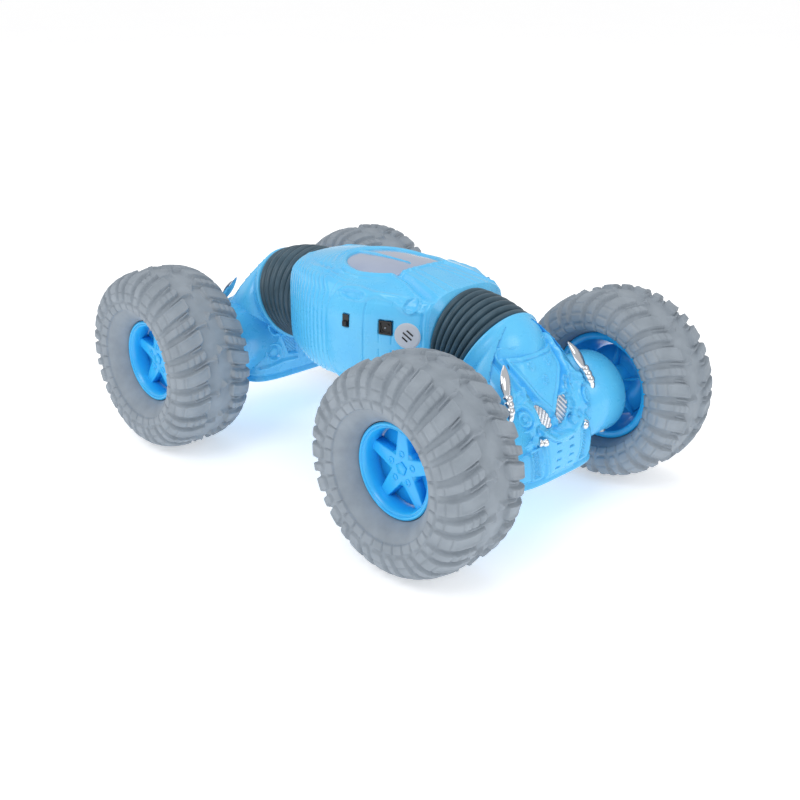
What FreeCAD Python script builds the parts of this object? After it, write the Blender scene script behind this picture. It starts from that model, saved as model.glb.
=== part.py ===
"""Twisting four-wheel stunt car: one STEP file per sub-part, in millimetres.

+X points to the front, +Y to the car's left, +Z up. The origin is on the ground, midway
between the axles. The front half is modelled in place, and the rear half is the same
design turned 180 degrees about Z.
"""
import FreeCAD
import Part
import math
import os

os.makedirs("parts", exist_ok=True)

# Whole car
wheelbase = 170.8
track = 133.3              # between the tyres' centre planes
cut_over = 1.0             # how far a cutting shape runs past a face

# Tyre and rim, seen in section: "outer" is the face away from the car
tyre_radius = 45.0
tyre_width = 43.0
tyre_shoulder_drop = 4.6   # how much the tread's edge is below its crown
tyre_shoulder_share = 0.86  # of the half width, where the tread meets the side
tyre_side_drop = 3.0       # from the shoulder, where the side has almost its full width
tyre_side_inset = 0.7
tyre_inner_rise = 2.0      # the inner side's widest line is this much further out
tyre_wall = 3.0
bead_length = 4.5
rim_width = 23.1
lip_width = 2.2
lip_height = 1.8
outer_lip_radius = 19.8
inner_lip_radius = 25.3
rim_wall = 1.6
spoke_count = 5
spoke_depth = 4.0
spoke_recess = 4.6         # spoke face below the outer lip
spoke_root_width = 7.4
spoke_tip_width = 5.0
rim_web = 1.0              # closes the windows behind the spokes
hub_radius = 7.6
hub_length = 13.0
cap_across = 6.2           # hub cap, centre to corner
cap_height = 1.2
lug_radius = 0.9
lug_circle = 3.6

# Drive shaft
shaft_radius = 2.0
hex_across_flats = 8.0
hex_length = 5.0
running_clearance = 0.05   # radial, for every shaft in its bearing

# Gears
gear_module = 0.5
pressure_angle = 20.0
tooth_tip = 0.9            # above the pitch circle, in modules
tooth_root = 1.3           # below it
tooth_foot = 0.1           # where the flank starts, above the root
flank_points = 4
mesh_clearance = 0.12      # added to each pair's centre distance
tooth_backlash = 0.16
output_teeth = 36
idler_wheel_teeth = 36
idler_pinion_teeth = 12
motor_pinion_teeth = 10
swivel_teeth = 36
gear_width = 2.2
gear_gap = 0.5             # between neighbours on one shaft
idler_pin_radius = 1.0
idler_angle = 95.0         # seen from the car's right, from +X towards +Z
motor_angle = 100.0
motor_shaft_radius = 1.0
motor_shaft_depth = 5.0

# Gearbox and drive motors
gearbox_plate = 2.0
gearbox_web = 2.4
gearbox_margin = 1.0        # around the motors and the shaft
drive_motor_radius = 6.0
drive_motor_flat = 5.0     # half width across its two flats
drive_motor_length = 12.8

# Swivel between body and axle module
swivel_ahead = 8.5         # its reference point, from the body's end
swivel_rise = 25.0         # above the axle
swivel_slope = 12.0        # downwards from the body, in degrees
tube_radius = 6.0
tube_bore = 4.0
tube_inner_end = 30.0      # along the swivel axis, from its reference point
bearing_radius = 10.0
bearing_start = 24.0
bearing_end = 7.0
flange_radius = 11.0
flange_start = 10.0
flange_thickness = 3.0
twist_motor_radius = 7.5
twist_motor_length = 24.0

# Bellows
bellows_radius = 23.6
bellows_length = 17.0      # the front one, and the bent part of the rear one
bellows_wall = 2.4
bellows_gap = 0.1
end_lip = 0.6              # the body's end stands this much proud of the bellows
collar_lip = 0.2           # and so does the module's collar

# Central body
body_end_gap = 34.9        # from the front axle to the body's front end
rear_end_gap = 42.4        # the same at the rear
body_rise = 26.7           # the body's middle plane, above the axle
body_half_width = 39.0
body_half_height = 29.3
body_taper = 1.2           # how fullness falls off towards the ends
body_squareness = 3.0      # at mid length
end_squareness = 4.4
body_wall = 2.0
window_x = 4.0
window_half_length = 24.0
window_half_width = 19.0
window_squareness = 2.2

# Body fittings
battery_size = (50.0, 24.0, 15.0)
battery_drop = 24.7        # its floor, below the body's middle plane
board_size = (60.0, 30.0, 1.6)
board_drop = 8.7
fitting_rise = 8.5         # switch and socket, above the middle plane
switch_x = 13.5
switch_slot = (3.4, 5.6)   # along the body, upwards
switch_margin = 2.0        # of the housing, round the slot
switch_depth = 5.0
switch_gap = 2.2           # from the wall to the switch behind it
switch_channel = 3.3       # how deep the knob's channel is
knob_seat = 0.8            # how far the knob goes into it
knob_size = (2.4, 2.4)
knob_reach = 1.4
knob_clearance = 0.2
socket_x = 32.8
socket_face = 6.6
socket_depth = 9.0
socket_bore_depth = 7.5
socket_pin_sink = 0.6      # the pin's tip, below the socket's face
socket_bore = 2.1
socket_pin = 0.5
socket_proud = 0.3
label_x = 42.0
label_rise = 6.3
label_radius = 5.8
label_thickness = 0.3
boss_x = 21.5
boss_y = 27.0
boss_radius = 3.5
head_clearance = 0.2
screw_radius = 1.2
screw_head_radius = 2.4
screw_head_height = 1.6
screw_sink = 1.2
screw_length = 20.0

# Axle module: each level of the pod as height above the axle, how far its back and its
# front are ahead of the axle, and its half width
pod_levels = (
    (-21.5, -17.4, 20.4, 27.5),
    (-16.0, -19.4, 21.6, 29.0),
    (-7.0, -20.4, 22.1, 29.5),
    (5.0, -19.4, 19.6, 30.0),
    (15.0, -16.9, 14.1, 29.5),
    (25.0, -13.9, 7.6, 27.0),
    (35.0, -10.4, 1.1, 20.0),
    (43.0, -7.9, -3.9, 10.0),
)
pod_squareness = 3.4
pod_wall = 2.0
collar_slope = 24.0
dome_depth = 2.0           # the dome's centre, inwards from the collar's face
collar_wall = 2.5
housing_gap = 2.6          # round the housing, to the rim's bore
housing_end_gap = 18.65    # from its end to the wheel's middle plane
housing_boss_offset = 12.0
housing_boss_inset = 8.0   # from the housing's end
module_boss_radius = 3.0

# Module trim on the left side, from the middle of the axle: ahead, sideways, up
pipe_radius = 2.1
pipe_low = (11.6, 26.5, 14.0)
pipe_high = (5.1, 20.5, 29.0)
insert_centre = (6.2, 6.6)  # sideways, up
insert_half_width = 3.2
insert_half_height = 6.5
insert_lean = 38.0
trim_depth = 0.5            # pipes and inserts, into the shell

Vec = FreeCAD.Vector
origin = Vec(0, 0, 0)
axle_x = wheelbase / 2
axle_z = tyre_radius
outline_points = 16

body_front = axle_x - body_end_gap
body_back = rear_end_gap - axle_x
body_centre = (body_front + body_back) / 2
body_half_length = (body_front - body_back) / 2
body_mid_z = axle_z + body_rise
body_end_half = bellows_radius + end_lip
swivel_x = body_front + swivel_ahead
swivel_z = axle_z + swivel_rise
collar_x = body_front + bellows_length
collar_radius = bellows_radius + collar_lip
switch_z = body_mid_z + fitting_rise
label_z = body_mid_z + label_rise
housing_radius = inner_lip_radius - lip_height - rim_wall - housing_gap
housing_reach = track / 2 - housing_end_gap
housing_boss_y = housing_reach - housing_boss_inset


def save(name, shape):
    shape.exportStep("parts/" + name + ".step")
    print(name, round(shape.Volume, 1))


def cylinder(radius, start, end):
    return Part.makeCylinder(radius, (end - start).Length, start, end - start)


def centred_box(size, centre):
    corner = Vec(centre[0] - size[0] / 2, centre[1] - size[1] / 2, centre[2] - size[2] / 2)
    return Part.makeBox(size[0], size[1], size[2], corner)


def prism(points, direction):
    wire = Part.makePolygon(points + [points[0]])
    return Part.Face(wire).extrude(direction)


def closed_curve(points):
    curve = Part.BSplineCurve()
    curve.interpolate(Points=points, PeriodicFlag=True)
    return Part.Wire(curve.toShape())


def rounded_outline(half_a, half_b, squareness):
    """Points of a superellipse, spaced evenly by angle."""
    points = []
    for step in range(outline_points):
        angle = 2 * math.pi * step / outline_points
        a = math.cos(angle)
        b = math.sin(angle)
        reach = (abs(a) ** squareness + abs(b) ** squareness) ** (-1 / squareness)
        points.append((half_a * a * reach, half_b * b * reach))
    return points


def turned(shape, axis, angle):
    copy = shape.copy()
    copy.rotate(origin, axis, angle)
    return copy


def rear(shape):
    return turned(shape, Vec(0, 0, 1), 180)


def moved(shape, x, y, z):
    copy = shape.copy()
    copy.translate(Vec(x, y, z))
    return copy


def pair(shape):
    """A shape and its mirror image in the car's middle plane."""
    return Part.makeCompound([shape, shape.mirror(origin, Vec(0, 1, 0))])


# Gears: made along +Z, with one tooth centred at the angle phase

def involute(angle):
    return math.tan(angle) - angle


def gear(teeth, width, phase):
    pressure = math.radians(pressure_angle)
    pitch = gear_module * teeth / 2
    base = pitch * math.cos(pressure)
    tip = pitch + tooth_tip * gear_module
    root = pitch - tooth_root * gear_module
    half_pitch = math.pi / (2 * teeth) - tooth_backlash / (4 * pitch)
    low = max(base, root + tooth_foot * gear_module)
    flank = []
    for step in range(flank_points):
        radius = low + (tip - low) * step / (flank_points - 1)
        lean = involute(math.acos(min(1.0, base / radius)))
        flank.append((radius, half_pitch + involute(pressure) - lean))
    foot = (root, flank[0][1])
    profile = [foot] + flank
    points = []
    for tooth in range(teeth):
        centre = math.radians(phase) + 2 * math.pi * tooth / teeth
        for radius, half in profile:
            points.append(polar(radius, centre - half))
        for radius, half in reversed(profile):
            points.append(polar(radius, centre + half))
    return prism(points, Vec(0, 0, width))


def polar(radius, angle):
    return Vec(radius * math.cos(angle), radius * math.sin(angle), 0)


def centre_distance(teeth_a, teeth_b):
    return gear_module * (teeth_a + teeth_b) / 2 + mesh_clearance


def gap_phase(direction, teeth):
    """Phase that puts a gap towards a neighbour lying opposite the given direction."""
    return direction + 180 + 180 / teeth


def across_car(shape, x, y, z):
    """Turn a shape made along +Z to run towards the car's middle from +Y."""
    return moved(turned(shape, Vec(1, 0, 0), 90), x, y, z)


# Wheel: made round the Y axis, centred on its own middle plane, outer face at +Y

rim_half = rim_width / 2
seat_half = rim_half - lip_width
outer_seat = outer_lip_radius - lip_height
inner_seat = inner_lip_radius - lip_height


def seat_radius(y):
    return inner_seat + (outer_seat - inner_seat) * (y + seat_half) / (2 * seat_half)


def revolved(edges):
    face = Part.Face(Part.Wire(edges))
    return face.revolve(origin, Vec(0, 1, 0), 360)


def arc(a, b, c):
    return Part.Arc(Vec(a[0], a[1], 0), Vec(b[0], b[1], 0), Vec(c[0], c[1], 0)).toShape()


def sidewall(bead, widest):
    """An arc that leaves the bead parallel to the wheel's axis."""
    rise = widest[0] - bead[0]
    reach = widest[1] - bead[1]
    radius = (rise ** 2 + reach ** 2) / (2 * rise)
    sweep = math.acos(max(-1.0, 1 - rise / radius)) / 2
    middle_y = bead[1] + math.copysign(radius * math.sin(sweep), reach)
    return arc(bead, (bead[0] + radius * (1 - math.cos(sweep)), middle_y), widest)


def line(a, b):
    return Part.LineSegment(Vec(a[0], a[1], 0), Vec(b[0], b[1], 0)).toShape()


def closed_lines(corners):
    edges = []
    for index, corner in enumerate(corners):
        edges.append(line(corner, corners[(index + 1) % len(corners)]))
    return edges


def tyre():
    half = tyre_width / 2
    bulge = (outer_lip_radius + tyre_radius) / 2
    shoulder = tyre_radius - tyre_shoulder_drop
    shoulder_y = half * tyre_shoulder_share
    side = (shoulder - tyre_side_drop, half - tyre_side_inset)
    inside = half - tyre_wall
    crown = tyre_radius - tyre_wall
    bead = seat_half - bead_length
    start = (outer_lip_radius, seat_half)
    finish = (inner_lip_radius, -seat_half)
    outer_side = (bulge, half)
    inner_side = (bulge + tyre_inner_rise, -half)
    edges = [
        sidewall(start, outer_side),
        arc(outer_side, side, (shoulder, shoulder_y)),
        arc((shoulder, shoulder_y), (tyre_radius, 0), (shoulder, -shoulder_y)),
        arc((shoulder, -shoulder_y), (side[0], -side[1]), inner_side),
        sidewall(finish, inner_side),
        line(finish, (seat_radius(-seat_half), -seat_half)),
        line((seat_radius(-seat_half), -seat_half), (seat_radius(-bead), -bead)),
        line((seat_radius(-bead), -bead), (bulge, -inside)),
        arc((bulge, -inside), (crown, 0), (bulge, inside)),
        line((bulge, inside), (seat_radius(bead), bead)),
        line((seat_radius(bead), bead), (seat_radius(seat_half), seat_half)),
        line((seat_radius(seat_half), seat_half), start),
    ]
    return revolved(edges)


def rim():
    seat_in = (seat_radius(-seat_half), -seat_half)
    seat_out = (seat_radius(seat_half), seat_half)
    bore_out = outer_seat - rim_wall
    bore_in = inner_seat - rim_wall
    corners = [
        (bore_out, rim_half), (outer_lip_radius, rim_half), (outer_lip_radius, seat_half),
        seat_out, seat_in, (inner_lip_radius, -seat_half),
        (inner_lip_radius, -rim_half), (bore_in, -rim_half),
    ]
    barrel = revolved(closed_lines(corners))
    face_y = rim_half - spoke_recess
    hub_back = face_y - hub_length
    shape = barrel.fuse(cylinder(hub_radius, Vec(0, hub_back, 0), Vec(0, face_y, 0)))
    core_edges = [(0, rim_half), (outer_seat, rim_half), seat_out, seat_in, (0, -seat_half)]
    core = revolved(closed_lines(core_edges))
    reach = inner_seat
    for index in range(spoke_count):
        points = [
            Vec(-spoke_root_width / 2, face_y, 0), Vec(spoke_root_width / 2, face_y, 0),
            Vec(spoke_tip_width / 2, face_y, reach), Vec(-spoke_tip_width / 2, face_y, reach),
        ]
        spoke = prism(points, Vec(0, -spoke_depth, 0))
        spoke = turned(spoke, Vec(0, 1, 0), 360 * index / spoke_count)
        shape = shape.fuse(spoke.common(core))
    web_back = face_y - spoke_depth - rim_web
    web = cylinder(reach, Vec(0, web_back, 0), Vec(0, face_y - spoke_depth, 0))
    shape = shape.fuse(web.common(core))
    recess = hexagon(hub_back, hub_back + hex_length)
    return shape.cut(recess).removeSplitter()


def hexagon(start, end):
    corner = hex_across_flats / math.sqrt(3)
    points = []
    for index in range(6):
        angle = math.pi * index / 3
        points.append(Vec(corner * math.cos(angle), start, corner * math.sin(angle)))
    return prism(points, Vec(0, end - start, 0))


def hub_cap():
    face_y = rim_half - spoke_recess
    points = []
    for index in range(spoke_count):
        angle = math.pi / 2 + 2 * math.pi * (index + 0.5) / spoke_count
        points.append(Vec(cap_across * math.cos(angle), face_y, cap_across * math.sin(angle)))
    cap = prism(points, Vec(0, cap_height, 0))
    for index in range(spoke_count):
        angle = math.pi / 2 + 2 * math.pi * (index + 0.5) / spoke_count
        x = lug_circle * math.cos(angle)
        z = lug_circle * math.sin(angle)
        dimple = cylinder(lug_radius, Vec(x, face_y + cap_height / 2, z), Vec(x, face_y + cap_height, z))
        cap = cap.cut(dimple)
    return cap


# Gear train of one side, along the car's left half

gear_inner = gearbox_web / 2 + drive_motor_length + gearbox_plate + gear_gap
stage_two = gear_inner + gear_width + gear_gap
idler_reach = centre_distance(output_teeth, idler_pinion_teeth)
motor_reach = centre_distance(idler_wheel_teeth, motor_pinion_teeth)
idler_x = axle_x + idler_reach * math.cos(math.radians(idler_angle))
idler_z = axle_z + idler_reach * math.sin(math.radians(idler_angle))
motor_x = idler_x + motor_reach * math.cos(math.radians(motor_angle))
motor_z = idler_z + motor_reach * math.sin(math.radians(motor_angle))
plate_inner = gearbox_web / 2 + drive_motor_length
hub_back_y = track / 2 + rim_half - spoke_recess - hub_length


def output_shaft():
    wheel = gear(output_teeth, gear_width, idler_angle)
    wheel = across_car(wheel, axle_x, gear_inner + gear_width, axle_z)
    rod = cylinder(shaft_radius, Vec(axle_x, plate_inner, axle_z), Vec(axle_x, hub_back_y, axle_z))
    drive = moved(hexagon(hub_back_y, hub_back_y + hex_length), axle_x, 0, axle_z)
    return wheel.fuse(rod).fuse(drive).removeSplitter()


def idler():
    small_length = gear_width + gear_gap
    small = gear(idler_pinion_teeth, small_length, gap_phase(idler_angle, idler_pinion_teeth))
    small = across_car(small, idler_x, stage_two, idler_z)
    large = gear(idler_wheel_teeth, gear_width, motor_angle)
    large = across_car(large, idler_x, stage_two + gear_width, idler_z)
    bore_start = Vec(idler_x, gear_inner - cut_over, idler_z)
    bore_end = Vec(idler_x, stage_two + gear_width + cut_over, idler_z)
    bore = cylinder(idler_pin_radius + running_clearance, bore_start, bore_end)
    return small.fuse(large).cut(bore).removeSplitter()


def drive_pinion():
    teeth = gear(motor_pinion_teeth, gear_width, gap_phase(motor_angle, motor_pinion_teeth))
    teeth = across_car(teeth, motor_x, stage_two + gear_width, motor_z)
    start = Vec(motor_x, plate_inner - motor_shaft_depth, motor_z)
    rod = cylinder(motor_shaft_radius, start, Vec(motor_x, stage_two + gear_width, motor_z))
    return teeth.fuse(rod).removeSplitter()


def motor_can(radius, length, start, direction):
    """A flat-sided can with a blind bearing for its shaft in its far end."""
    end = start + direction * length
    can = cylinder(radius, start, end)
    bore = motor_shaft_radius + running_clearance
    return can.cut(cylinder(bore, end - direction * (motor_shaft_depth + gear_gap), end))


def drive_motors():
    start = Vec(motor_x, gearbox_web / 2, motor_z)
    can = motor_can(drive_motor_radius, drive_motor_length, start, Vec(0, 1, 0))
    size = (2 * drive_motor_flat, drive_motor_length, 4 * drive_motor_radius)
    block = centred_box(size, (motor_x, gearbox_web / 2 + drive_motor_length / 2, motor_z))
    return pair(can.common(block))


def gearbox():
    low_x = motor_x - drive_motor_radius - gearbox_margin
    high_x = axle_x + shaft_radius + gearbox_margin
    low_z = axle_z - shaft_radius - gearbox_margin
    high_z = motor_z + gearbox_margin
    outer_y = plate_inner + gearbox_plate
    length = high_x - low_x
    height = high_z - low_z
    box = Part.makeBox(length, 2 * outer_y, height, Vec(low_x, -outer_y, low_z))
    bay_length = length - 2 * gearbox_plate
    bay_height = height - gearbox_plate + cut_over
    bay_low = low_z + gearbox_plate
    bay_corner = Vec(low_x + gearbox_plate, gearbox_web / 2, bay_low)
    bay = Part.makeBox(bay_length, drive_motor_length, bay_height, bay_corner)
    frame = box.cut(pair(bay))
    can = cylinder(drive_motor_radius + gear_gap, Vec(motor_x, gearbox_web / 2, motor_z),
                   Vec(motor_x, plate_inner, motor_z))
    frame = frame.cut(pair(can))
    shaft_hole = cylinder(shaft_radius + running_clearance, Vec(axle_x, plate_inner - cut_over, axle_z),
                          Vec(axle_x, outer_y + cut_over, axle_z))
    motor_hole = cylinder(motor_shaft_radius + gear_gap, Vec(motor_x, plate_inner - cut_over, motor_z),
                          Vec(motor_x, outer_y + cut_over, motor_z))
    frame = frame.cut(pair(shaft_hole)).cut(pair(motor_hole))
    pin = cylinder(idler_pin_radius, Vec(idler_x, plate_inner, idler_z),
                   Vec(idler_x, stage_two + gear_width + gear_gap, idler_z))
    return frame.fuse(pin).fuse(pin.mirror(origin, Vec(0, 1, 0))).removeSplitter()


# Swivel axis: local Z runs along it, outwards and down, local X along the car's +Y

slope = math.radians(swivel_slope)
swivel_dir = Vec(math.cos(slope), 0, -math.sin(slope))
swivel_up = Vec(math.sin(slope), 0, math.cos(slope))
swivel_origin = Vec(swivel_x, 0, swivel_z)


def on_swivel(shape, along, side=0.0):
    place = FreeCAD.Placement(FreeCAD.Matrix(
        0, swivel_up.x, swivel_dir.x, 0,
        1, swivel_up.y, swivel_dir.y, 0,
        0, swivel_up.z, swivel_dir.z, 0,
        0, 0, 0, 1))
    copy = shape.copy()
    copy.Placement = place
    copy.translate(swivel_origin + swivel_dir * along + Vec(0, side, 0))
    return copy


def swivel_rod(radius, start, end, side=0.0):
    shift = Vec(0, side, 0)
    first = swivel_origin + swivel_dir * start + shift
    return cylinder(radius, first, swivel_origin + swivel_dir * end + shift)


twist_side = centre_distance(swivel_teeth, motor_pinion_teeth)
gear_start = gear_gap - tube_inner_end
swivel_gear_width = gear_width + 1.0
pinion_back = gear_start - gear_gap


def swivel_tube():
    tube = swivel_rod(tube_radius, -tube_inner_end, flange_start + flange_thickness)
    flange = swivel_rod(flange_radius, flange_start, flange_start + flange_thickness)
    wheel = on_swivel(gear(swivel_teeth, swivel_gear_width, 0), gear_start)
    end = flange_start + flange_thickness + cut_over
    bore = swivel_rod(tube_bore, -tube_inner_end - cut_over, end)
    return tube.fuse(flange).fuse(wheel).cut(bore).removeSplitter()


def twist_pinion():
    teeth = gear(motor_pinion_teeth, swivel_gear_width, gap_phase(0, motor_pinion_teeth))
    teeth = on_swivel(teeth, gear_start, twist_side)
    rod = swivel_rod(motor_shaft_radius, pinion_back - motor_shaft_depth, gear_start + gear_width,
                     twist_side)
    return teeth.fuse(rod).removeSplitter()


def twist_motor():
    start = swivel_origin + swivel_dir * (pinion_back - twist_motor_length) + Vec(0, twist_side, 0)
    return motor_can(twist_motor_radius, twist_motor_length, start, swivel_dir)


def swivel_bearing():
    ring = swivel_rod(bearing_radius, -bearing_start, -bearing_end)
    start = -bearing_start - cut_over
    return ring.cut(swivel_rod(tube_radius + running_clearance, start, cut_over - bearing_end))


# Bellows: a bend of tube between the body's end and the module's sloping collar

collar_angle = math.radians(collar_slope)
collar_dir = Vec(math.cos(collar_angle), 0, -math.sin(collar_angle))
bend_radius = bellows_length / math.sin(collar_angle)
bend_z = body_mid_z - bend_radius
collar_z = bend_z + bend_radius * math.cos(collar_angle)
collar_centre = Vec(collar_x, 0, collar_z)


def bellows():
    centre = Vec(body_front, 0, body_mid_z)
    pivot = Vec(body_front, 0, bend_z)
    turn = collar_slope - math.degrees(bellows_gap / (bend_radius - bellows_radius))
    outer = Part.Face(Part.Wire(Part.Circle(centre, Vec(1, 0, 0), bellows_radius).toShape()))
    inner_circle = Part.Circle(centre, Vec(1, 0, 0), bellows_radius - bellows_wall)
    inner = Part.Face(Part.Wire(inner_circle.toShape()))
    solid = outer.revolve(pivot, Vec(0, 1, 0), turn)
    return solid.cut(inner.revolve(pivot, Vec(0, 1, 0), turn))


def bellows_run():
    """The straight part that the rear bellows has as well, because the body ends sooner there."""
    start = Vec(body_back, 0, body_mid_z)
    finish = Vec(-body_front, 0, body_mid_z)
    outside = cylinder(bellows_radius, start, finish)
    return outside.cut(cylinder(bellows_radius - bellows_wall, start, finish))


# Central body: stacked rounded sections along X

def fullness_at(x):
    return max(0.0, 1 - ((x - body_centre) / body_half_length) ** 2)


def body_width_at(x):
    fullness = fullness_at(x)
    return body_end_half + (body_half_width - body_end_half) * fullness ** body_taper


def body_height_at(x):
    return body_end_half + (body_half_height - body_end_half) * fullness_at(x)


def body_form(inset):
    """The body's outside, or its inside when inset is the wall."""
    sections = []
    reach = body_half_length - inset
    for step in range(-4, 5):
        x = body_centre + reach * step / 4
        end = reach * abs(step) / 4 / body_half_length
        squareness = body_squareness + (end_squareness - body_squareness) * end
        outline = rounded_outline(body_width_at(x) - inset, body_height_at(x) - inset, squareness)
        sections.append(closed_curve([Vec(x, a, body_mid_z + b) for a, b in outline]))
    return Part.makeLoft(sections, True, False)


def side_point(x, z):
    """Where the body's right side is, and how far its wall is turned there."""
    rise = abs(z - body_mid_z) / body_height_at(x)
    share = (1 - rise ** body_squareness) ** (1 / body_squareness)
    step = 0.1
    turn = math.degrees(math.atan2(body_width_at(x - step) - body_width_at(x + step), 2 * step))
    return Vec(x, -body_width_at(x) * share, z), turn


def on_side(shape, x, z):
    """Place a shape made at the origin, its outside facing -Y, on the body's right side."""
    point, turn = side_point(x, z)
    return moved(turned(shape, Vec(0, 0, 1), turn), point.x, point.y, point.z)


def half_space(low):
    """A block that holds everything below or above the body's split plane."""
    size = 4 * body_half_length
    z = body_mid_z - size if low else body_mid_z
    return Part.makeBox(size, size, size, Vec(-size / 2, -size / 2, z))


def window_prism(top):
    outline = rounded_outline(window_half_length, window_half_width, window_squareness)
    if top:
        points = [Vec(window_x + a, b, body_mid_z) for a, b in outline]
        height = 2 * body_half_height
    else:
        points = [Vec(-window_x + a, b, body_mid_z) for a, b in outline]
        height = -2 * body_half_height
    return Part.Face(closed_curve(points)).extrude(Vec(0, 0, height))


def shell_depth(x, y):
    """Half height of the body's outside at a point in plan."""
    share = 1 - (abs(y) / body_width_at(x)) ** body_squareness
    return body_height_at(x) * share ** (1 / body_squareness)


body_screw_seat = body_mid_z - shell_depth(-boss_x, boss_y) + screw_sink + screw_head_height


def screw(x, y, seat, length):
    head = cylinder(screw_head_radius, Vec(x, y, seat - screw_head_height), Vec(x, y, seat))
    shank = cylinder(screw_radius, Vec(x, y, seat), Vec(x, y, seat + length))
    return head.fuse(shank)


def screw_hole(x, y, seat, length):
    room = screw_head_radius + head_clearance
    hole = cylinder(room, Vec(x, y, seat - screw_length), Vec(x, y, seat))
    return hole.fuse(cylinder(screw_radius, Vec(x, y, seat - cut_over), Vec(x, y, seat + length)))


body_corners = [(a * boss_x, b * boss_y) for a in (-1, 1) for b in (-1, 1)]
body_screw_length = body_mid_z - body_screw_seat + screw_length / 2


def switch_window():
    size = (switch_slot[0], 4 * body_wall, switch_slot[1])
    return on_side(centred_box(size, (0, 0, 0)), switch_x, switch_z)


def socket_room():
    size = (socket_face, 2 * socket_depth, socket_face)
    return on_side(centred_box(size, (0, 0, 0)), socket_x, switch_z)


def body_shells():
    outside = body_form(0)
    inside = body_form(body_wall)
    shell = outside.cut(inside)
    for x, y in body_corners:
        post = cylinder(boss_radius, Vec(x, y, 0), Vec(x, y, 2 * body_mid_z)).common(inside)
        shell = shell.fuse(post)
    for x, y in body_corners:
        shell = shell.cut(screw_hole(x, y, body_screw_seat, body_screw_length))
    hole = swivel_rod(bearing_radius, -2 * bearing_start, bearing_start)
    shell = shell.cut(hole).cut(rear(hole))
    shell = shell.cut(switch_window()).cut(socket_room())
    top_window = window_prism(True)
    low_window = window_prism(False)
    wall = outside.cut(inside)
    panes = (wall.common(top_window), wall.common(low_window))
    shell = shell.cut(top_window).cut(low_window)
    return shell.common(half_space(False)), shell.common(half_space(True)), panes


switch_front = body_wall + switch_gap


def switch_housing():
    width = switch_slot[0] + 2 * switch_margin
    height = switch_slot[1] + 2 * switch_margin
    block = centred_box((width, switch_depth, height), (0, switch_front + switch_depth / 2, 0))
    channel_size = (knob_size[0] + 2 * knob_clearance, 2 * switch_channel, switch_slot[1])
    return on_side(block.cut(centred_box(channel_size, (0, switch_front, 0))), switch_x, switch_z)


def switch_knob():
    top = switch_front + knob_seat
    length = top + knob_reach
    low = -switch_slot[1] / 2 + knob_clearance + knob_size[1] / 2
    knob = centred_box((knob_size[0], length, knob_size[1]), (0, top - length / 2, low))
    return on_side(knob, switch_x, switch_z)


def charge_socket():
    size = (socket_face, socket_depth, socket_face)
    block = centred_box(size, (0, socket_depth / 2 - socket_proud, 0))
    mouth = Vec(0, -socket_proud, 0)
    floor = Vec(0, socket_bore_depth - socket_proud, 0)
    block = block.cut(cylinder(socket_bore, mouth, floor))
    pin = cylinder(socket_pin, mouth + Vec(0, socket_pin_sink, 0), floor)
    return on_side(block.fuse(pin), socket_x, switch_z)


def label_disc(outside):
    """A thin disc lying on the body's curved side."""
    rod = cylinder(label_radius, Vec(0, -3 * body_wall, 0), Vec(0, 3 * body_wall, 0))
    rod = on_side(rod, label_x, label_z)
    return body_form(-label_thickness).common(rod).cut(outside)


# Axle module

def pod_form(inset):
    sections = []
    for index, (up, back, front, half) in enumerate(pod_levels):
        level = axle_z + up
        if index == 0:
            level += inset
        if index == len(pod_levels) - 1:
            level -= inset
        middle = axle_x + (back + front) / 2
        outline = rounded_outline((front - back) / 2 - inset, half - inset, pod_squareness)
        sections.append(closed_curve([Vec(middle + a, b, level) for a, b in outline]))
    return Part.makeLoft(sections, True, False)


def module_form(inset):
    """The module's outside, or its inside when inset is the wall."""
    start = 0.0
    if inset == pod_wall:
        start = collar_wall
    centre = collar_centre - collar_dir * dome_depth
    ball = Part.makeSphere(math.hypot(collar_radius, dome_depth) - inset, centre)
    outwards = collar_centre + collar_dir * start
    dome = ball.common(cylinder(2 * collar_radius, outwards, outwards + collar_dir * 2 * collar_radius))
    reach = housing_reach - inset
    housing = cylinder(housing_radius - inset, Vec(axle_x, -reach, axle_z), Vec(axle_x, reach, axle_z))
    return pod_form(inset).fuse(dome).fuse(housing)


module_corners = [(axle_x + a * housing_boss_offset, b * housing_boss_y) for a in (-1, 1) for b in (-1, 1)]
housing_depth = math.sqrt(housing_radius ** 2 - housing_boss_offset ** 2)
module_screw_seat = axle_z - housing_depth + screw_sink + screw_head_height


def module_shells(outside, trims):
    inside = module_form(pod_wall)
    shell = outside.cut(inside)
    chord = math.sqrt((housing_radius - pod_wall) ** 2 - housing_boss_offset ** 2) + pod_wall
    for x, y in module_corners:
        post = cylinder(module_boss_radius, Vec(x, y, axle_z - chord), Vec(x, y, axle_z + chord))
        shell = shell.fuse(post.common(outside))
    for x, y in module_corners:
        shell = shell.cut(screw_hole(x, y, module_screw_seat, screw_length))
    bearing = cylinder(shaft_radius + running_clearance, Vec(axle_x, -2 * housing_reach, axle_z),
                       Vec(axle_x, 2 * housing_reach, axle_z))
    shell = shell.cut(bearing)
    shell = shell.cut(swivel_rod(tube_radius, -tube_inner_end, tube_inner_end))
    shell = shell.cut(swivel_rod(flange_radius, flange_start, flange_start + 2 * flange_thickness))
    for trim in trims:
        shell = shell.cut(trim)
    size = 8 * tyre_radius
    low_block = Part.makeBox(size, size, size, Vec(-size / 2, -size / 2, axle_z - size))
    return shell.cut(low_block), shell.common(low_block)


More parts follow.
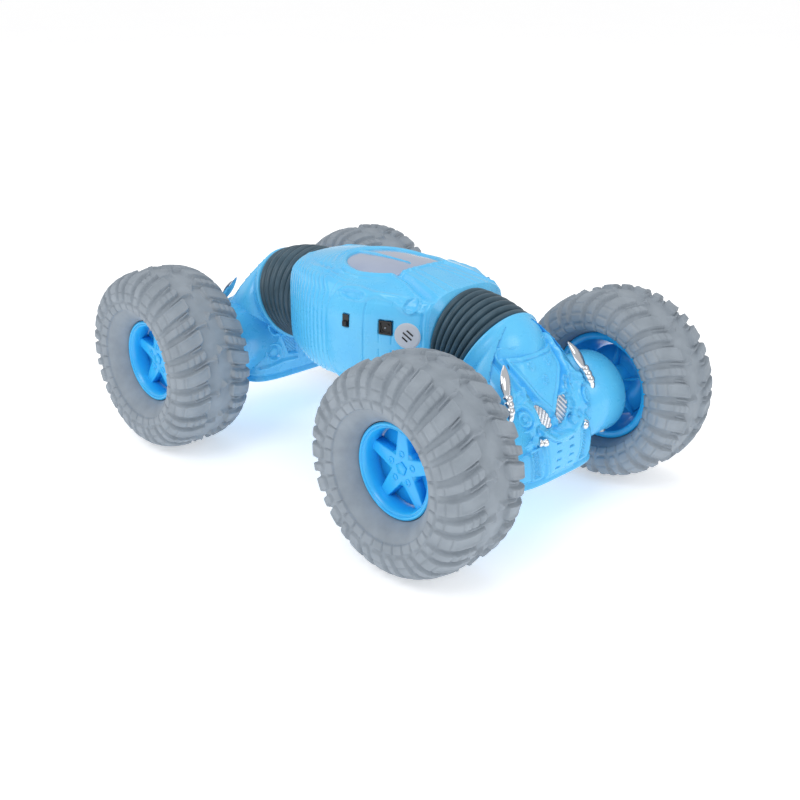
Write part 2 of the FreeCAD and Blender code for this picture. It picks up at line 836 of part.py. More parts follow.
def module_pipes(seat):
    """One exhaust pipe on each front shoulder, round at both ends, let into the shell a little."""
    low = Vec(axle_x, 0, axle_z) + Vec(*pipe_low)
    high = Vec(axle_x, 0, axle_z) + Vec(*pipe_high)
    pipe = cylinder(pipe_radius, low, high)
    pipe = pipe.fuse(Part.makeSphere(pipe_radius, low)).fuse(Part.makeSphere(pipe_radius, high))
    return pair(pipe.cut(seat))


def mesh_inserts(outside, seat):
    skin = outside.cut(seat)
    lean = math.radians(insert_lean)
    points = []
    for a, b in rounded_outline(insert_half_width, insert_half_height, 2.0):
        y = insert_centre[0] + a * math.cos(lean) + b * math.sin(lean)
        z = axle_z + insert_centre[1] - a * math.sin(lean) + b * math.cos(lean)
        points.append(Vec(axle_x, y, z))
    rod = Part.Face(closed_curve(points)).extrude(Vec(axle_x, 0, 0))
    return pair(skin.common(rod))


def module_screws():
    screws = [screw(x, y, module_screw_seat, screw_length) for x, y in module_corners]
    return Part.makeCompound(screws)


def build_body():
    upper, lower, panes = body_shells()
    save("body_shell_upper", upper)
    save("body_shell_lower", lower)
    save("window_top", panes[0])
    save("window_bottom", panes[1])
    battery_z = body_mid_z - battery_drop + battery_size[2] / 2
    save("battery_pack", centred_box(battery_size, (0, 0, battery_z)))
    board_z = body_mid_z - board_drop + board_size[2] / 2
    save("circuit_board", centred_box(board_size, (0, 0, board_z)))
    save("switch_housing", switch_housing())
    save("switch_knob", switch_knob())
    save("charge_socket", charge_socket())
    save("label_disc", label_disc(body_form(0)))
    screws = [screw(x, y, body_screw_seat, body_screw_length) for x, y in body_corners]
    save("body_screws", Part.makeCompound(screws))
    pieces = {
        "bellows": bellows(),
        "swivel_bearing": swivel_bearing(),
        "twist_motor": twist_motor(),
        "twist_pinion": twist_pinion(),
    }
    for name, shape in pieces.items():
        save(name + "_front", shape)
        if name == "bellows":
            save(name + "_rear", rear(shape).fuse(bellows_run()).removeSplitter())
        else:
            save(name + "_rear", rear(shape))


def build_modules():
    outside = module_form(0)
    seat = module_form(trim_depth)
    pipes = module_pipes(seat)
    inserts = mesh_inserts(outside, seat)
    upper, lower = module_shells(outside, (pipes, inserts))
    pieces = {
        "shell_upper": upper,
        "shell_lower": lower,
        "swivel_tube": swivel_tube(),
        "pipes": pipes,
        "mesh_inserts": inserts,
        "screws": module_screws(),
        "drive_motors": drive_motors(),
        "gearbox": gearbox(),
    }
    for name, shape in pieces.items():
        save("front_" + name, shape)
        save("rear_" + name, rear(shape))


def build_wheels():
    on_axle = {"tyre": tyre(), "rim": rim(), "hub_cap": hub_cap()}
    train = {"shaft": output_shaft(), "idler": idler(), "pinion": drive_pinion()}
    for name, shape in on_axle.items():
        train[name] = moved(shape, axle_x, track / 2, axle_z)
    for name, left in train.items():
        right = left.mirror(origin, Vec(0, 1, 0))
        save("front_left_" + name, left)
        save("front_right_" + name, right)
        save("rear_right_" + name, rear(left))
        save("rear_left_" + name, rear(right))


build_body()
build_modules()
build_wheels()
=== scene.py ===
import bpy
import math
import numpy as np
from mathutils import Matrix, Vector


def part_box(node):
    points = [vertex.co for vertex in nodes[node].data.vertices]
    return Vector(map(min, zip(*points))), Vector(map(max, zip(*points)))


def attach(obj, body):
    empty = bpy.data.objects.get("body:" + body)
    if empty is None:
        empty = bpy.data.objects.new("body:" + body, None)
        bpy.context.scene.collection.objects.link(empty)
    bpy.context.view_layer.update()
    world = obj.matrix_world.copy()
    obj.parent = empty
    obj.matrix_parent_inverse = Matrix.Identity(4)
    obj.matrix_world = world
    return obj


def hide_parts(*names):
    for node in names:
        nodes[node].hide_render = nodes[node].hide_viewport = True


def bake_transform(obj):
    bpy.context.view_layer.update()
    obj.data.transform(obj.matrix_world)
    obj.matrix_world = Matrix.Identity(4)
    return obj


# Twisting stunt car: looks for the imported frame. Lengths here are in millimetres, and
# makePiece turns them to metres. +X is the front, +Y the left side, +Z up.

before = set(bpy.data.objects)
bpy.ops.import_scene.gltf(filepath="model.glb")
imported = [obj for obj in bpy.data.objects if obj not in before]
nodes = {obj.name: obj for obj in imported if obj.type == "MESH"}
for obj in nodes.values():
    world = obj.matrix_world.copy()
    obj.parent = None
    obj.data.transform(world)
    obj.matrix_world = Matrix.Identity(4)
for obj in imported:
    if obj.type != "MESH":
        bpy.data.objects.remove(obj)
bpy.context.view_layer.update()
print("frame loaded:", len(nodes), "nodes")


# Helpers shared by every piece

def cadBounds(name):
    low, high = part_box(name)
    return np.array(low) * 1000, np.array(high) * 1000


def ramp(value, start, end):
    # 0 before start, 1 after end, eased between
    t = np.clip((value - start) / (end - start), 0, 1)
    return t * t * (3 - 2 * t)


def toLinear(hexColour):
    channels = []
    for place in (0, 2, 4):
        value = int(hexColour[place:place + 2], 16) / 255
        if value <= 0.04045:
            channels.append(value / 12.92)
        else:
            channels.append(((value + 0.055) / 1.055) ** 2.4)
    return (channels[0], channels[1], channels[2], 1)


def smoothPath(points, count):
    # evenly spaced points along a curve through the given ones
    pts = np.array(points, float)
    first = 2 * pts[0] - pts[1]
    last = 2 * pts[-1] - pts[-2]
    pts = np.vstack([first, pts, last])
    t = np.linspace(0, 1, 24, endpoint=False)[:, None]
    runs = []
    for i in range(1, len(pts) - 2):
        a, b, c, d = pts[i - 1], pts[i], pts[i + 1], pts[i + 2]
        runs.append(0.5 * (2 * b + (c - a) * t + (2 * a - 5 * b + 4 * c - d) * t ** 2
                           + (3 * b - a - 3 * c + d) * t ** 3))
    dense = np.vstack(runs + [pts[-2:-1]])
    length = np.concatenate([[0], np.cumsum(np.linalg.norm(np.diff(dense, axis=0), axis=1))])
    wanted = np.linspace(0, length[-1], count)
    return np.stack([np.interp(wanted, length, dense[:, k]) for k in range(dense.shape[1])], 1)


def lineDistance(u, v, points):
    # distance from each (u, v) to an open line through the points
    best = np.full(np.broadcast(u, v).shape, 1e6)
    for (ax, ay), (bx, by) in zip(points[:-1], points[1:]):
        dx, dy = bx - ax, by - ay
        t = np.clip(((u - ax) * dx + (v - ay) * dy) / (dx * dx + dy * dy), 0, 1)
        best = np.minimum(best, np.hypot(u - ax - t * dx, v - ay - t * dy))
    return best


def insideDistance(u, v, points):
    # signed distance to a closed outline, negative inside
    closed = list(points) + [points[0]]
    distance = lineDistance(u, v, closed)
    inside = np.zeros(distance.shape, bool)
    for (ax, ay), (bx, by) in zip(closed[:-1], closed[1:]):
        if ay == by:
            continue
        crosses = (ay > v) != (by > v)
        inside ^= crosses & (u < (bx - ax) * (v - ay) / (by - ay) + ax)
    return np.where(inside, -distance, distance)


def squareRound(angle, square):
    # unit outline between a circle and a square, as (cosine side, sine side)
    c, s = np.cos(angle), np.sin(angle)
    reach = (np.abs(c) ** square + np.abs(s) ** square) ** (-1 / square)
    return c * reach, s * reach


def turned(a, b, angle):
    c, s = math.cos(angle), math.sin(angle)
    return a * c - b * s, a * s + b * c


def groove(distance, width):
    return np.exp(-(distance / width) ** 2)


def banded(distance, bands):
    # ridges and grooves along a distance: height, where it peaks, width
    return sum(height * groove(distance - at, width) for height, at, width in bands)


def drawn(u, v, lines):
    # ridges and grooves along open lines: height, width, points
    return sum(height * groove(lineDistance(u, v, points), width) for height, width, points in lines)


def gridFaces(rows, columns, closeRows=False, closeColumns=False):
    rowSteps = rows if closeRows else rows - 1
    columnSteps = columns if closeColumns else columns - 1
    r, c = np.meshgrid(np.arange(rowSteps), np.arange(columnSteps), indexing="ij")
    r, c = r.ravel(), c.ravel()
    r2, c2 = (r + 1) % rows, (c + 1) % columns
    return np.stack([r * columns + c, r * columns + c2, r2 * columns + c2, r2 * columns + c], 1).tolist()


def makePiece(name, points, faces, material, body, replaced=(), flat=False):
    mesh = bpy.data.meshes.new(name)
    mesh.from_pydata((np.asarray(points).reshape(-1, 3) / 1000).tolist(), [], faces)
    mesh.validate()
    mesh.update()
    if not flat:
        mesh.polygons.foreach_set("use_smooth", [True] * len(mesh.polygons))
    piece = bpy.data.objects.new(name, mesh)
    bpy.context.scene.collection.objects.link(piece)
    mesh.materials.append(material)
    if body:
        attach(piece, body)
    if replaced:
        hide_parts(*replaced)
    return piece


def capRing(points, faces, ring):
    # closes a ring of point numbers with a fan round its own middle
    middle = np.mean([points[i] for i in ring], axis=0)
    points.append(middle)
    for k in range(len(ring)):
        faces.append([ring[k], ring[(k + 1) % len(ring)], len(points) - 1])


def capEnds(points, faces, rows, around):
    # closes the first and the last ring of a tube of rows
    capRing(points, faces, list(range(around))[::-1])
    capRing(points, faces, list(range((rows - 1) * around, rows * around)))


def turnedRear(points):
    return np.asarray(points) * np.array([-1, -1, 1])


def joined(parts):
    # several (points, faces) as one
    points, faces, start = [], [], 0
    for pts, fcs in parts:
        pts = np.asarray(pts).reshape(-1, 3)
        points.append(pts)
        faces += [[i + start for i in face] for face in fcs]
        start += len(pts)
    return np.vstack(points), faces


def mirrored(part):
    points, faces = part
    return np.asarray(points).reshape(-1, 3) * np.array([1, -1, 1]), [face[::-1] for face in faces]


def tube(path, radii, sides=20, squash=1.0, wide=(0, 1, 0)):
    # round bar along a path, closed at both ends
    path = np.asarray(path, float)
    ahead = np.gradient(path, axis=0)
    ahead /= np.linalg.norm(ahead, axis=1)[:, None]
    across = np.cross(ahead, np.array(wide, float))
    across /= np.linalg.norm(across, axis=1)[:, None]
    other = np.cross(ahead, across)
    angle = np.linspace(0, 2 * math.pi, sides, endpoint=False)
    rings = (path[:, None] + np.asarray(radii)[:, None, None]
             * (across[:, None] * np.cos(angle)[None, :, None] * squash
                + other[:, None] * np.sin(angle)[None, :, None]))
    points = rings.reshape(-1, 3).tolist()
    faces = gridFaces(len(path), sides, closeColumns=True)
    capEnds(points, faces, len(path), sides)
    return points, faces


def lathe(profile, steps, axis="y"):
    # profile of (along, radius) turned round the axis, closed where it meets itself
    profile = np.asarray(profile, float)
    angle = np.linspace(0, 2 * math.pi, steps, endpoint=False)
    along = np.repeat(profile[:, :1], steps, 1)
    a = profile[:, 1:2] * np.cos(angle)
    b = profile[:, 1:2] * np.sin(angle)
    order = {"x": (along, a, b), "y": (b, along, a)}[axis]
    return np.stack(order, 2).reshape(-1, 3), gridFaces(len(profile), steps, True, True)


# Materials

def addNode(tree, kind, settings=None, **links):
    node = tree.nodes.new(kind)
    for key, value in (settings or {}).items():
        if isinstance(key, int) or key in node.inputs:
            node.inputs[key].default_value = value
        else:
            setattr(node, key, value)
    for key, source in links.items():
        socket = node.inputs[int(key[2:])] if key.startswith("in") and key[2:].isdigit() else node.inputs[key]
        tree.links.new(source, socket)
    return node


def newFinish(name, settings):
    material = bpy.data.materials.new(name)
    material.use_nodes = True
    tree = material.node_tree
    shader = tree.nodes["Principled BSDF"]
    for key, value in settings.items():
        shader.inputs[key].default_value = value
    place = addNode(tree, "ShaderNodeNewGeometry").outputs["Position"]
    return material, tree, shader, place


def mottle(tree, place, sizeMm, colours, detail=3.0):
    # soft colour change with a real patch size
    noise = addNode(tree, "ShaderNodeTexNoise", {"Scale": 1000 / sizeMm, "Detail": detail}, Vector=place)
    blend = addNode(tree, "ShaderNodeValToRGB", Fac=noise.outputs["Fac"])
    blend.color_ramp.elements[0].position = 0.32
    blend.color_ramp.elements[1].position = 0.68
    for element, colour in zip(blend.color_ramp.elements, colours):
        element.color = toLinear(colour)
    return blend.outputs["Color"]


def roughNoise(tree, place, sizeMm, low, high):
    noise = addNode(tree, "ShaderNodeTexNoise", {"Scale": 1000 / sizeMm, "Detail": 4.0}, Vector=place)
    spread = addNode(tree, "ShaderNodeMapRange", {"To Min": low, "To Max": high}, Value=noise.outputs["Fac"])
    return spread.outputs["Result"]


def grain(tree, place, sizeMm, heightMm, strength=1.0):
    noise = addNode(tree, "ShaderNodeTexNoise", {"Scale": 1000 / sizeMm, "Detail": 5.0}, Vector=place)
    bump = addNode(tree, "ShaderNodeBump", {"Strength": strength, "Distance": heightMm / 1000},
                   Height=noise.outputs["Fac"])
    return bump.outputs["Normal"]


def mouldedPlastic(name, light, dark, rough, waveMm=14, coat=0.0):
    # glossy ABS: clean highlights, with a faint flow mottle and slow sink waves in the wall
    finish, tree, shader, place = newFinish(name, {"IOR": 1.54, "Coat Weight": coat, "Coat Roughness": 0.12})
    tree.links.new(mottle(tree, place, waveMm, (dark, light)), shader.inputs["Base Color"])
    tree.links.new(roughNoise(tree, place, 6, rough - 0.05, rough + 0.07), shader.inputs["Roughness"])
    tree.links.new(grain(tree, place, 9, 0.12, 0.35), shader.inputs["Normal"])
    return finish


def mouldedRubber(name, light, dark, rough, grainMm):
    # soft PVC or rubber: matte with fine spark-eroded grain, paler where it is dusty
    finish, tree, shader, place = newFinish(name, {"IOR": 1.5, "Specular IOR Level": 0.35})
    tree.links.new(mottle(tree, place, 7, (dark, light), 6.0), shader.inputs["Base Color"])
    tree.links.new(roughNoise(tree, place, 3, rough - 0.06, rough + 0.08), shader.inputs["Roughness"])
    tree.links.new(grain(tree, place, grainMm, 0.08, 0.5), shader.inputs["Normal"])
    return finish


def platedMetal(name, colour, rough, grainMm=1.5):
    # bright plating or drawn steel: sharp reflections with a little orange peel
    finish, tree, shader, place = newFinish(name, {"Metallic": 1.0, "Base Color": toLinear(colour)})
    tree.links.new(roughNoise(tree, place, grainMm, rough * 0.7, rough * 1.3), shader.inputs["Roughness"])
    tree.links.new(grain(tree, place, grainMm * 2, 0.02, 0.3), shader.inputs["Normal"])
    return finish


skyAbs = mouldedPlastic("skyBlueAbsMoulded", "62CDFF", "55C6FF", 0.27, coat=0.25)
rimAbs = mouldedPlastic("rimBlueAbsMoulded", "36C2FF", "28BAFF", 0.3, coat=0.2)
tyreRubber = mouldedRubber("greyPvcMoulded", "9AA4AE", "8D97A1", 0.6, 1.2)
bellowsRubber = mouldedRubber("slateRubberMoulded", "47606F", "3A5260", 0.32, 0.9)
windowTint = mouldedPlastic("lavenderTintPolished", "A6B4CF", "9DABC8", 0.12, coat=0.6)
blackPlastic = mouldedPlastic("blackNylonMoulded", "17181B", "0E0F11", 0.4)
labelFilm = mouldedPlastic("paleLabelFilmPrinted", "C9CFD9", "C1C8D3", 0.45)
inkBlack = mouldedPlastic("blackInkPrinted", "1B1E25", "14161C", 0.5)
chromePlate = platedMetal("chromePlatedAbs", "E3E6EB", 0.09)
silverFoil = platedMetal("silverHotFoilStamped", "C8CDD5", 0.28)
zincSteel = platedMetal("zincPlatedSteelDrawn", "A9AEB4", 0.3)
naturalNylon = mouldedPlastic("naturalNylonMoulded", "E4E2DA", "D8D6CC", 0.45)
batteryWrap = mouldedPlastic("blueShrinkWrapFilm", "3A66A8", "325C9C", 0.3)
boardLaminate = mouldedPlastic("greenSolderMaskLaminate", "1F6B3A", "195C31", 0.35)
print("materials made")


# Sizes and places that come from the frame

tyreLow, tyreHigh = cadBounds("front_left_tyre")
wheelCentre = (tyreLow + tyreHigh) / 2
tyreRadius = (tyreHigh[2] - tyreLow[2]) / 2
bodyLow, bodyHigh = cadBounds("body_shell_upper")
bodyMid = bodyLow[2]
bodyCentre = (bodyLow[0] + bodyHigh[0]) / 2
bodyHalfLength = (bodyHigh[0] - bodyLow[0]) / 2
slotBodies = {"front": ("front_module", 1), "rear": ("rear_module", -1)}


# Tyres

tyre = {
    "around": 640,
    "across": 200,
    "lugs": 16,                # wide lugs on each side, with a narrow one between each two
    "bead": ((9.0, 18.2), (9.2, 19.8)),
    "outside": ((9.3, 19.95), (12.4, 20.6), (16.0, 23.2), (18.7, 27.0), (19.7, 31.3),
                (19.0, 35.3), (16.4, 38.8), (12.0, 41.1), (6.0, 42.2)),
    "crown": (0.0, 42.8),
    "inside": ((-6.0, 42.2), (-12.0, 41.2), (-16.5, 39.2), (-19.2, 36.2), (-20.0, 33.0),
               (-19.0, 29.8), (-16.0, 27.2), (-12.4, 25.8), (-9.3, 25.4)),
    "beadInside": ((-9.2, 25.2), (-9.0, 23.7)),
    "lugHeight": 2.05,
    "lugStart": 5.6,           # arc length from the crown
    "lugEnd": 25.4,
    "wideHalf": 3.3,
    "narrowHalf": 2.0,
    "finHalf": 0.5,
    "finEnds": (2.6, 13.0),
    "pyramid": 1.9,
    "lean": 5.0,               # how far a lug's crown end is swept round
    "sipe": 0.34,
    "blockStart": 26.4,
    "blockEnd": 30.2,
    "blockHeight": 0.75,
}


def roundedBox(du, dv, corner):
    # signed distance from two edge distances, with rounded corners
    au = du + corner
    av = dv + corner
    return np.hypot(np.maximum(au, 0), np.maximum(av, 0)) + np.minimum(np.maximum(au, av), 0) - corner


def lugField(angle, arc, radius, side):
    # tread height in mm over the tyre: angle round it, arc length out from the crown
    pitch = 2 * math.pi / tyre["lugs"]
    away = arc * side
    reach = np.clip((away - tyre["lugStart"]) / (tyre["lugEnd"] - tyre["lugStart"]), 0, 1)
    sweep = tyre["lean"] * (1 - reach) ** 1.6 / radius
    offset = 0 if side > 0 else pitch / 4
    height = np.zeros(np.broadcast(angle, arc).shape)
    fall = 0.5 + 0.5 * ramp(tyre["lugEnd"] - away, 0, 9)

    def roundFrom(shift):
        # distance round the tyre from the nearest line of this kind
        return ((angle - sweep - offset - shift * pitch + pitch / 2) % pitch - pitch / 2) * radius

    for kind, half in enumerate((tyre["wideHalf"], tyre["narrowHalf"])):
        round_ = roundFrom(kind / 2)
        start = tyre["lugStart"] + (0.0 if kind == 0 else 0.6)
        width = half * (1.0 - 0.16 * reach)
        edge = roundedBox(np.abs(round_) - width, np.maximum(start - away, away - tyre["lugEnd"]), 1.5)
        lug = ramp(-edge, -0.2, 0.35) * tyre["lugHeight"] * fall
        marks = (17.6, 21.6) if kind == 0 else (9.4, 12.2, 15.0, 21.6)
        for mark in marks:
            lug -= 0.6 * groove(away - mark, tyre["sipe"]) * ramp(-edge, 0.0, 0.5)
        if kind == 0:
            lug -= 0.4 * ramp(-edge, 0.85, 1.35) * ramp(17.0 - away, 0, 0.7)
        height = np.maximum(height, lug)
    near, far = tyre["finEnds"]
    for shift, reachTo in ((0.27, near), (0.75, 7.5)):
        round_ = roundFrom(shift)
        long_ = np.maximum(reachTo - away, away - far)
        rise = 0.45 + 0.55 * ramp(far - away, 0, far - reachTo)
        fin = ramp(-roundedBox(np.abs(round_) - tyre["finHalf"], long_, 0.3), -0.25, 0.3)
        height = np.maximum(height, fin * rise * tyre["lugHeight"] * 0.85)
    round_ = roundFrom(0.27)
    v = away - near + 0.2
    size = tyre["pyramid"]
    edge = np.maximum(round_ * 0.9 + v * 0.44, -round_ * 0.75 + v * 0.66)
    edge = np.maximum(edge, -v - size * 0.35) - size * 0.62
    facet = 0.6 + 0.4 * ramp(round_ * 0.6 - v * 0.8, -0.2, 0.2)
    height = np.maximum(height, ramp(-edge, -0.15, 1.2) * tyre["lugHeight"] * facet)
    small = pitch / 2
    round_ = ((angle - offset + small / 2) % small - small / 2) * radius
    middle = (tyre["blockStart"] + tyre["blockEnd"]) / 2
    long_ = np.abs(away - middle) - (tyre["blockEnd"] - tyre["blockStart"]) / 2
    block = ramp(-roundedBox(np.abs(round_) - 2.5, long_, 0.5), -0.15, 0.3) * tyre["blockHeight"]
    return np.maximum(height, block)


def tyrePart():
    section = list(tyre["outside"]) + [tyre["crown"]] + list(tyre["inside"])
    path = smoothPath(section, tyre["across"])
    step = np.linalg.norm(np.diff(path, axis=0), axis=1)
    arc = np.concatenate([[0], np.cumsum(step)])
    arc = arc[np.argmax(path[:, 1])] - arc
    ahead = np.gradient(path, axis=0)
    ahead /= np.linalg.norm(ahead, axis=1)[:, None]
    out = np.stack([-ahead[:, 1], ahead[:, 0]], 1)
    out *= np.sign(out[len(out) // 2, 1])
    angle = np.linspace(0, 2 * math.pi, tyre["around"], endpoint=False)[None, :]
    radius = path[:, 1:2]
    arc = arc[:, None]
    height = np.maximum(lugField(angle, arc, radius, 1) * ramp(arc, -1.5, -0.5),
                        lugField(angle, arc, radius, -1) * ramp(-arc, -1.5, -0.5))
    y = path[:, 0:1] + out[:, 0:1] * height
    r = path[:, 1:2] + out[:, 1:2] * height
    r = np.minimum(r, tyreRadius - 0.05)
    beads = [np.array(tyre["bead"]), np.array(tyre["beadInside"])]
    top = np.repeat(beads[0][:, :, None], tyre["around"], 2)
    low = np.repeat(beads[1][:, :, None], tyre["around"], 2)
    y = np.vstack([top[:, 0], y, low[:, 0]])
    r = np.vstack([top[:, 1], r, low[:, 1]])
    points = np.stack([r * np.sin(angle), y, r * np.cos(angle)], 2)
    return points.reshape(-1, 3), gridFaces(len(r), tyre["around"], True, True)


# Rims and hub caps

rim = {
    "steps": 160,
    "outerLip": 19.8,
    "innerLip": 25.3,
    "half": 11.55,
    "spokes": 5,
    "spokeFace": 6.9,
    "spokeDeep": 4.2,
    "rootWide": 6.6,
    "tipWide": 4.4,
    "tipRadius": 17.3,
    "valley": 5.9,             # how near the middle the windows reach
    "bevel": 0.45,
    "lugCircle": 6.0,
    "lugRadius": 0.95,
    "capRadius": 2.9,
    "webFace": 2.6,            # the wall behind the spokes
}


def rimBarrel():
    half, lip, deep = rim["half"], rim["outerLip"], rim["innerLip"]
    profile = [
        (half - 2.2, lip - 1.8), (half - 2.2, lip - 0.2), (half - 1.7, lip), (half - 0.5, lip),
        (half, lip - 0.5), (half, lip - 1.1), (half - 0.3, lip - 1.35), (half - 0.75, lip - 1.45),
        (half - 0.85, lip - 1.8),
        (half - 0.5, lip - 2.0), (half - 0.7, lip - 2.35), (half - 2.6, lip - 3.1), (half - 5.4, lip - 3.5),
        (half - 9.5, lip - 2.4), (-half + 3.2, deep - 3.5), (-half + 0.6, deep - 3.4), (-half, deep - 3.0),
        (-half, deep - 0.5), (-half + 0.5, deep), (-half + 1.8, deep), (-half + 2.2, deep - 0.4),
        (-half + 2.2, deep - 1.8),
    ]
    return lathe(profile, rim["steps"])


def rimSpokes():
    # star of spokes with a hub, drafted sides and eased top edges
    outline = []
    for index in range(rim["spokes"]):
        at = 2 * math.pi * index / rim["spokes"]
        tip = math.asin(rim["tipWide"] / 2 / rim["tipRadius"])
        rootRadius = rim["valley"] + 2.6
        root = math.asin(rim["rootWide"] / 2 / rootRadius)
        for turn, reach in ((-tip, rim["tipRadius"]), (tip, rim["tipRadius"]), (root, rootRadius)):
            outline.append((at + turn, reach))
        valley = at + math.pi / rim["spokes"]
        outline.append((valley, rim["valley"]))
        outline.append((at + 2 * math.pi / rim["spokes"] - root, rootRadius))
    flat = [(reach * math.sin(a), reach * math.cos(a)) for a, reach in outline]
    count = len(flat)
    rows = []
    face = rim["spokeFace"]
    levels = ((0.0, 0.55), (rim["bevel"] * 0.3, 0.16), (rim["bevel"], 0.0), (rim["spokeDeep"], -0.35))
    for depth, inset in levels:
        ring = []
        for k in range(count):
            before, here, after = (np.array(flat[(k + j) % count]) for j in (-1, 0, 1))
            e1 = (here - before) / np.linalg.norm(here - before)
            e2 = (after - here) / np.linalg.norm(after - here)
            n = np.array([e1[1] + e2[1], -e1[0] - e2[0]])
            n /= np.linalg.norm(n)
            n *= np.sign(np.dot(here, n)) if abs(np.dot(here, n)) > 1 else 1
            spot = here - n * inset
            ring.append((spot[0], face - depth, spot[1]))
        rows.append(ring)
    points = [point for ring in rows for point in ring]
    faces = gridFaces(len(rows), count, closeColumns=True)
    capEnds(points, faces, len(rows), count)
    return points, faces


def disc(centre, radius, height, edge, steps):
    # a many-sided button on the wheel's face, standing out along +Y
    profile = [(0.0, radius), (height - edge, radius), (height, radius - edge)]
    angle = np.linspace(0, 2 * math.pi, steps, endpoint=False)
    points, faces = [], []
    for along, r in profile:
        for a in angle:
            points.append((centre[0] + r * math.sin(a), centre[1] + along, centre[2] + r * math.cos(a)))
    faces += gridFaces(len(profile), steps, closeColumns=True)
    capEnds(points, faces, len(profile), steps)
    return points, faces


def lugRings():
    # raised ring with a sunk middle at the root of each spoke
    parts = []
    for index in range(rim["spokes"]):
        at = 2 * math.pi * index / rim["spokes"]
        x, z = rim["lugCircle"] * math.sin(at), rim["lugCircle"] * math.cos(at)
        r = rim["lugRadius"]
        profile = [(0.0, r + 0.5), (0.35, r + 0.4), (0.45, r + 0.1), (0.2, r - 0.1), (-0.6, r - 0.2),
                   (-0.6, 0.05), (-0.9, 0.05), (-0.9, r + 0.5)]
        ring, faces = lathe(profile, 24)
        parts.append((ring + np.array([x, rim["spokeFace"], z]), faces))
    return parts


def rimPart():
    hubProfile = [(6.6, 0.05), (6.6, 7.4), (5.0, 7.6), (-6.0, 7.6), (-6.0, 4.6), (-1.0, 4.6), (-1.0, 0.05)]
    hub = lathe(hubProfile, 48)
    web = rim["webFace"]
    wall = lathe([(web, 0.05), (web, 16.6), (web - 0.9, 16.8), (web - 0.9, 0.05)], 96)
    ribs = []
    boxFaces = [[0, 1, 2, 3], [7, 6, 5, 4], [4, 5, 1, 0], [5, 6, 2, 1], [6, 7, 3, 2], [7, 4, 0, 3]]
    for index in range(rim["spokes"]):
        at = 2 * math.pi * index / rim["spokes"]
        rib = [(-0.5, 4.6, 7.2), (0.5, 4.6, 7.2), (0.5, 4.6, 17.5), (-0.5, 4.6, 17.5),
               (-0.5, -4.0, 7.2), (0.5, -4.0, 7.2), (0.5, 0.5, 18.6), (-0.5, 0.5, 18.6)]
        c, s = math.cos(at), math.sin(at)
        rib = [(x * c + z * s, y, z * c - x * s) for x, y, z in rib]
        ribs.append((rib, boxFaces))
    return joined([rimBarrel(), rimSpokes(), hub, wall] + ribs)


def capPart():
    cap = disc((0, rim["spokeFace"] - 0.1, 0), rim["capRadius"], 0.75, 0.3, rim["spokes"])
    return joined([cap] + lugRings())


def placeWheel(points, front, left):
    # from the wheel's own frame, outer face at +Y, to its corner of the car
    points = np.asarray(points)
    if not left:
        points = points * np.array([-1, -1, 1])
    place = wheelCentre * np.array([1 if front else -1, 1 if left else -1, 1])
    return points + place


def makeWheels():
    shapes = {
        "tyre": (tyrePart(), tyreRubber, "tyre_grey"),
        "rim": (rimPart(), rimAbs, "rim_blue"),
        "hub_cap": (capPart(), rimAbs, "rim_blue"),
    }
    for end in ("front", "rear"):
        for side in ("left", "right"):
            for kind, ((points, faces), material, slotName) in shapes.items():
                name = end + "_" + side + "_" + kind
                spots = placeWheel(points, end == "front", side == "left")
                wheelBody = end + "_" + side + "_wheel"
                makePiece(name + "Look", spots, faces, material, wheelBody, (name,))


makeWheels()
print("wheels made")


# Bellows

bellows = {
    "ribs": 7,
    "rowsPerRib": 14,
    "around": 120,
    "start": 50.5,             # where the bend begins, in the front one
    "collarRing": (67.6, 68.1),
    "collarSlope": 24.0,
    "radius": 23.5,
    "valleyDeep": 2.9,
    "wall": 1.4,
    "twistHalf": 3.4,          # half of the length that twists on the real car, each way from the swivel
}


def bellowsPart(bodyEnd):
    # straight from the body's end, then rings fanned round a line below the bend
    slope = math.radians(bellows["collarSlope"])
    bend = (bellows["collarRing"][0] - bellows["start"]) / math.sin(slope)
    pivot = np.array([bellows["start"], 0, bodyMid - bend])
    straight = bellows["start"] - bodyEnd + 0.3
    rows = bellows["ribs"] * bellows["rowsPerRib"] + 1
    t = np.linspace(0, 1, rows)
    along = t * (straight + bend * slope) - straight
    wave = np.abs(np.sin(math.pi * bellows["ribs"] * t)) ** 0.55
    outer = bellows["radius"] - bellows["valleyDeep"] * (1 - wave)
    angle = np.linspace(0, 2 * math.pi, bellows["around"], endpoint=False)
    skins = []
    for radius in (outer, outer - bellows["wall"]):
        turn = (np.maximum(along, 0) / bend)[:, None]
        reach = bend + radius[:, None] * np.cos(angle)
        x = pivot[0] + reach * np.sin(turn) + np.minimum(along, 0)[:, None]
        z = pivot[2] + reach * np.cos(turn)
        y = radius[:, None] * np.sin(angle) * np.ones_like(turn)
        skins.append(np.stack([x, y, z], 2))
    grid = np.concatenate([skins[0], skins[1][::-1]], 0)
    return grid.reshape(-1, 3), gridFaces(2 * rows, bellows["around"], True, True)


def makeBellows():
    for end, sign, bodyEnd in (("front", 1, bodyHigh[0]), ("rear", -1, -bodyLow[0])):
        points, faces = bellowsPart(bodyEnd)
        spots = points if sign > 0 else turnedRear(points)
        piece = makePiece("bellows" + end.capitalize() + "Look", spots, faces, bellowsRubber, None,
                          ("bellows_" + end,))
        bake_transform(piece)


makeBellows()
print("bellows made")


# Central body

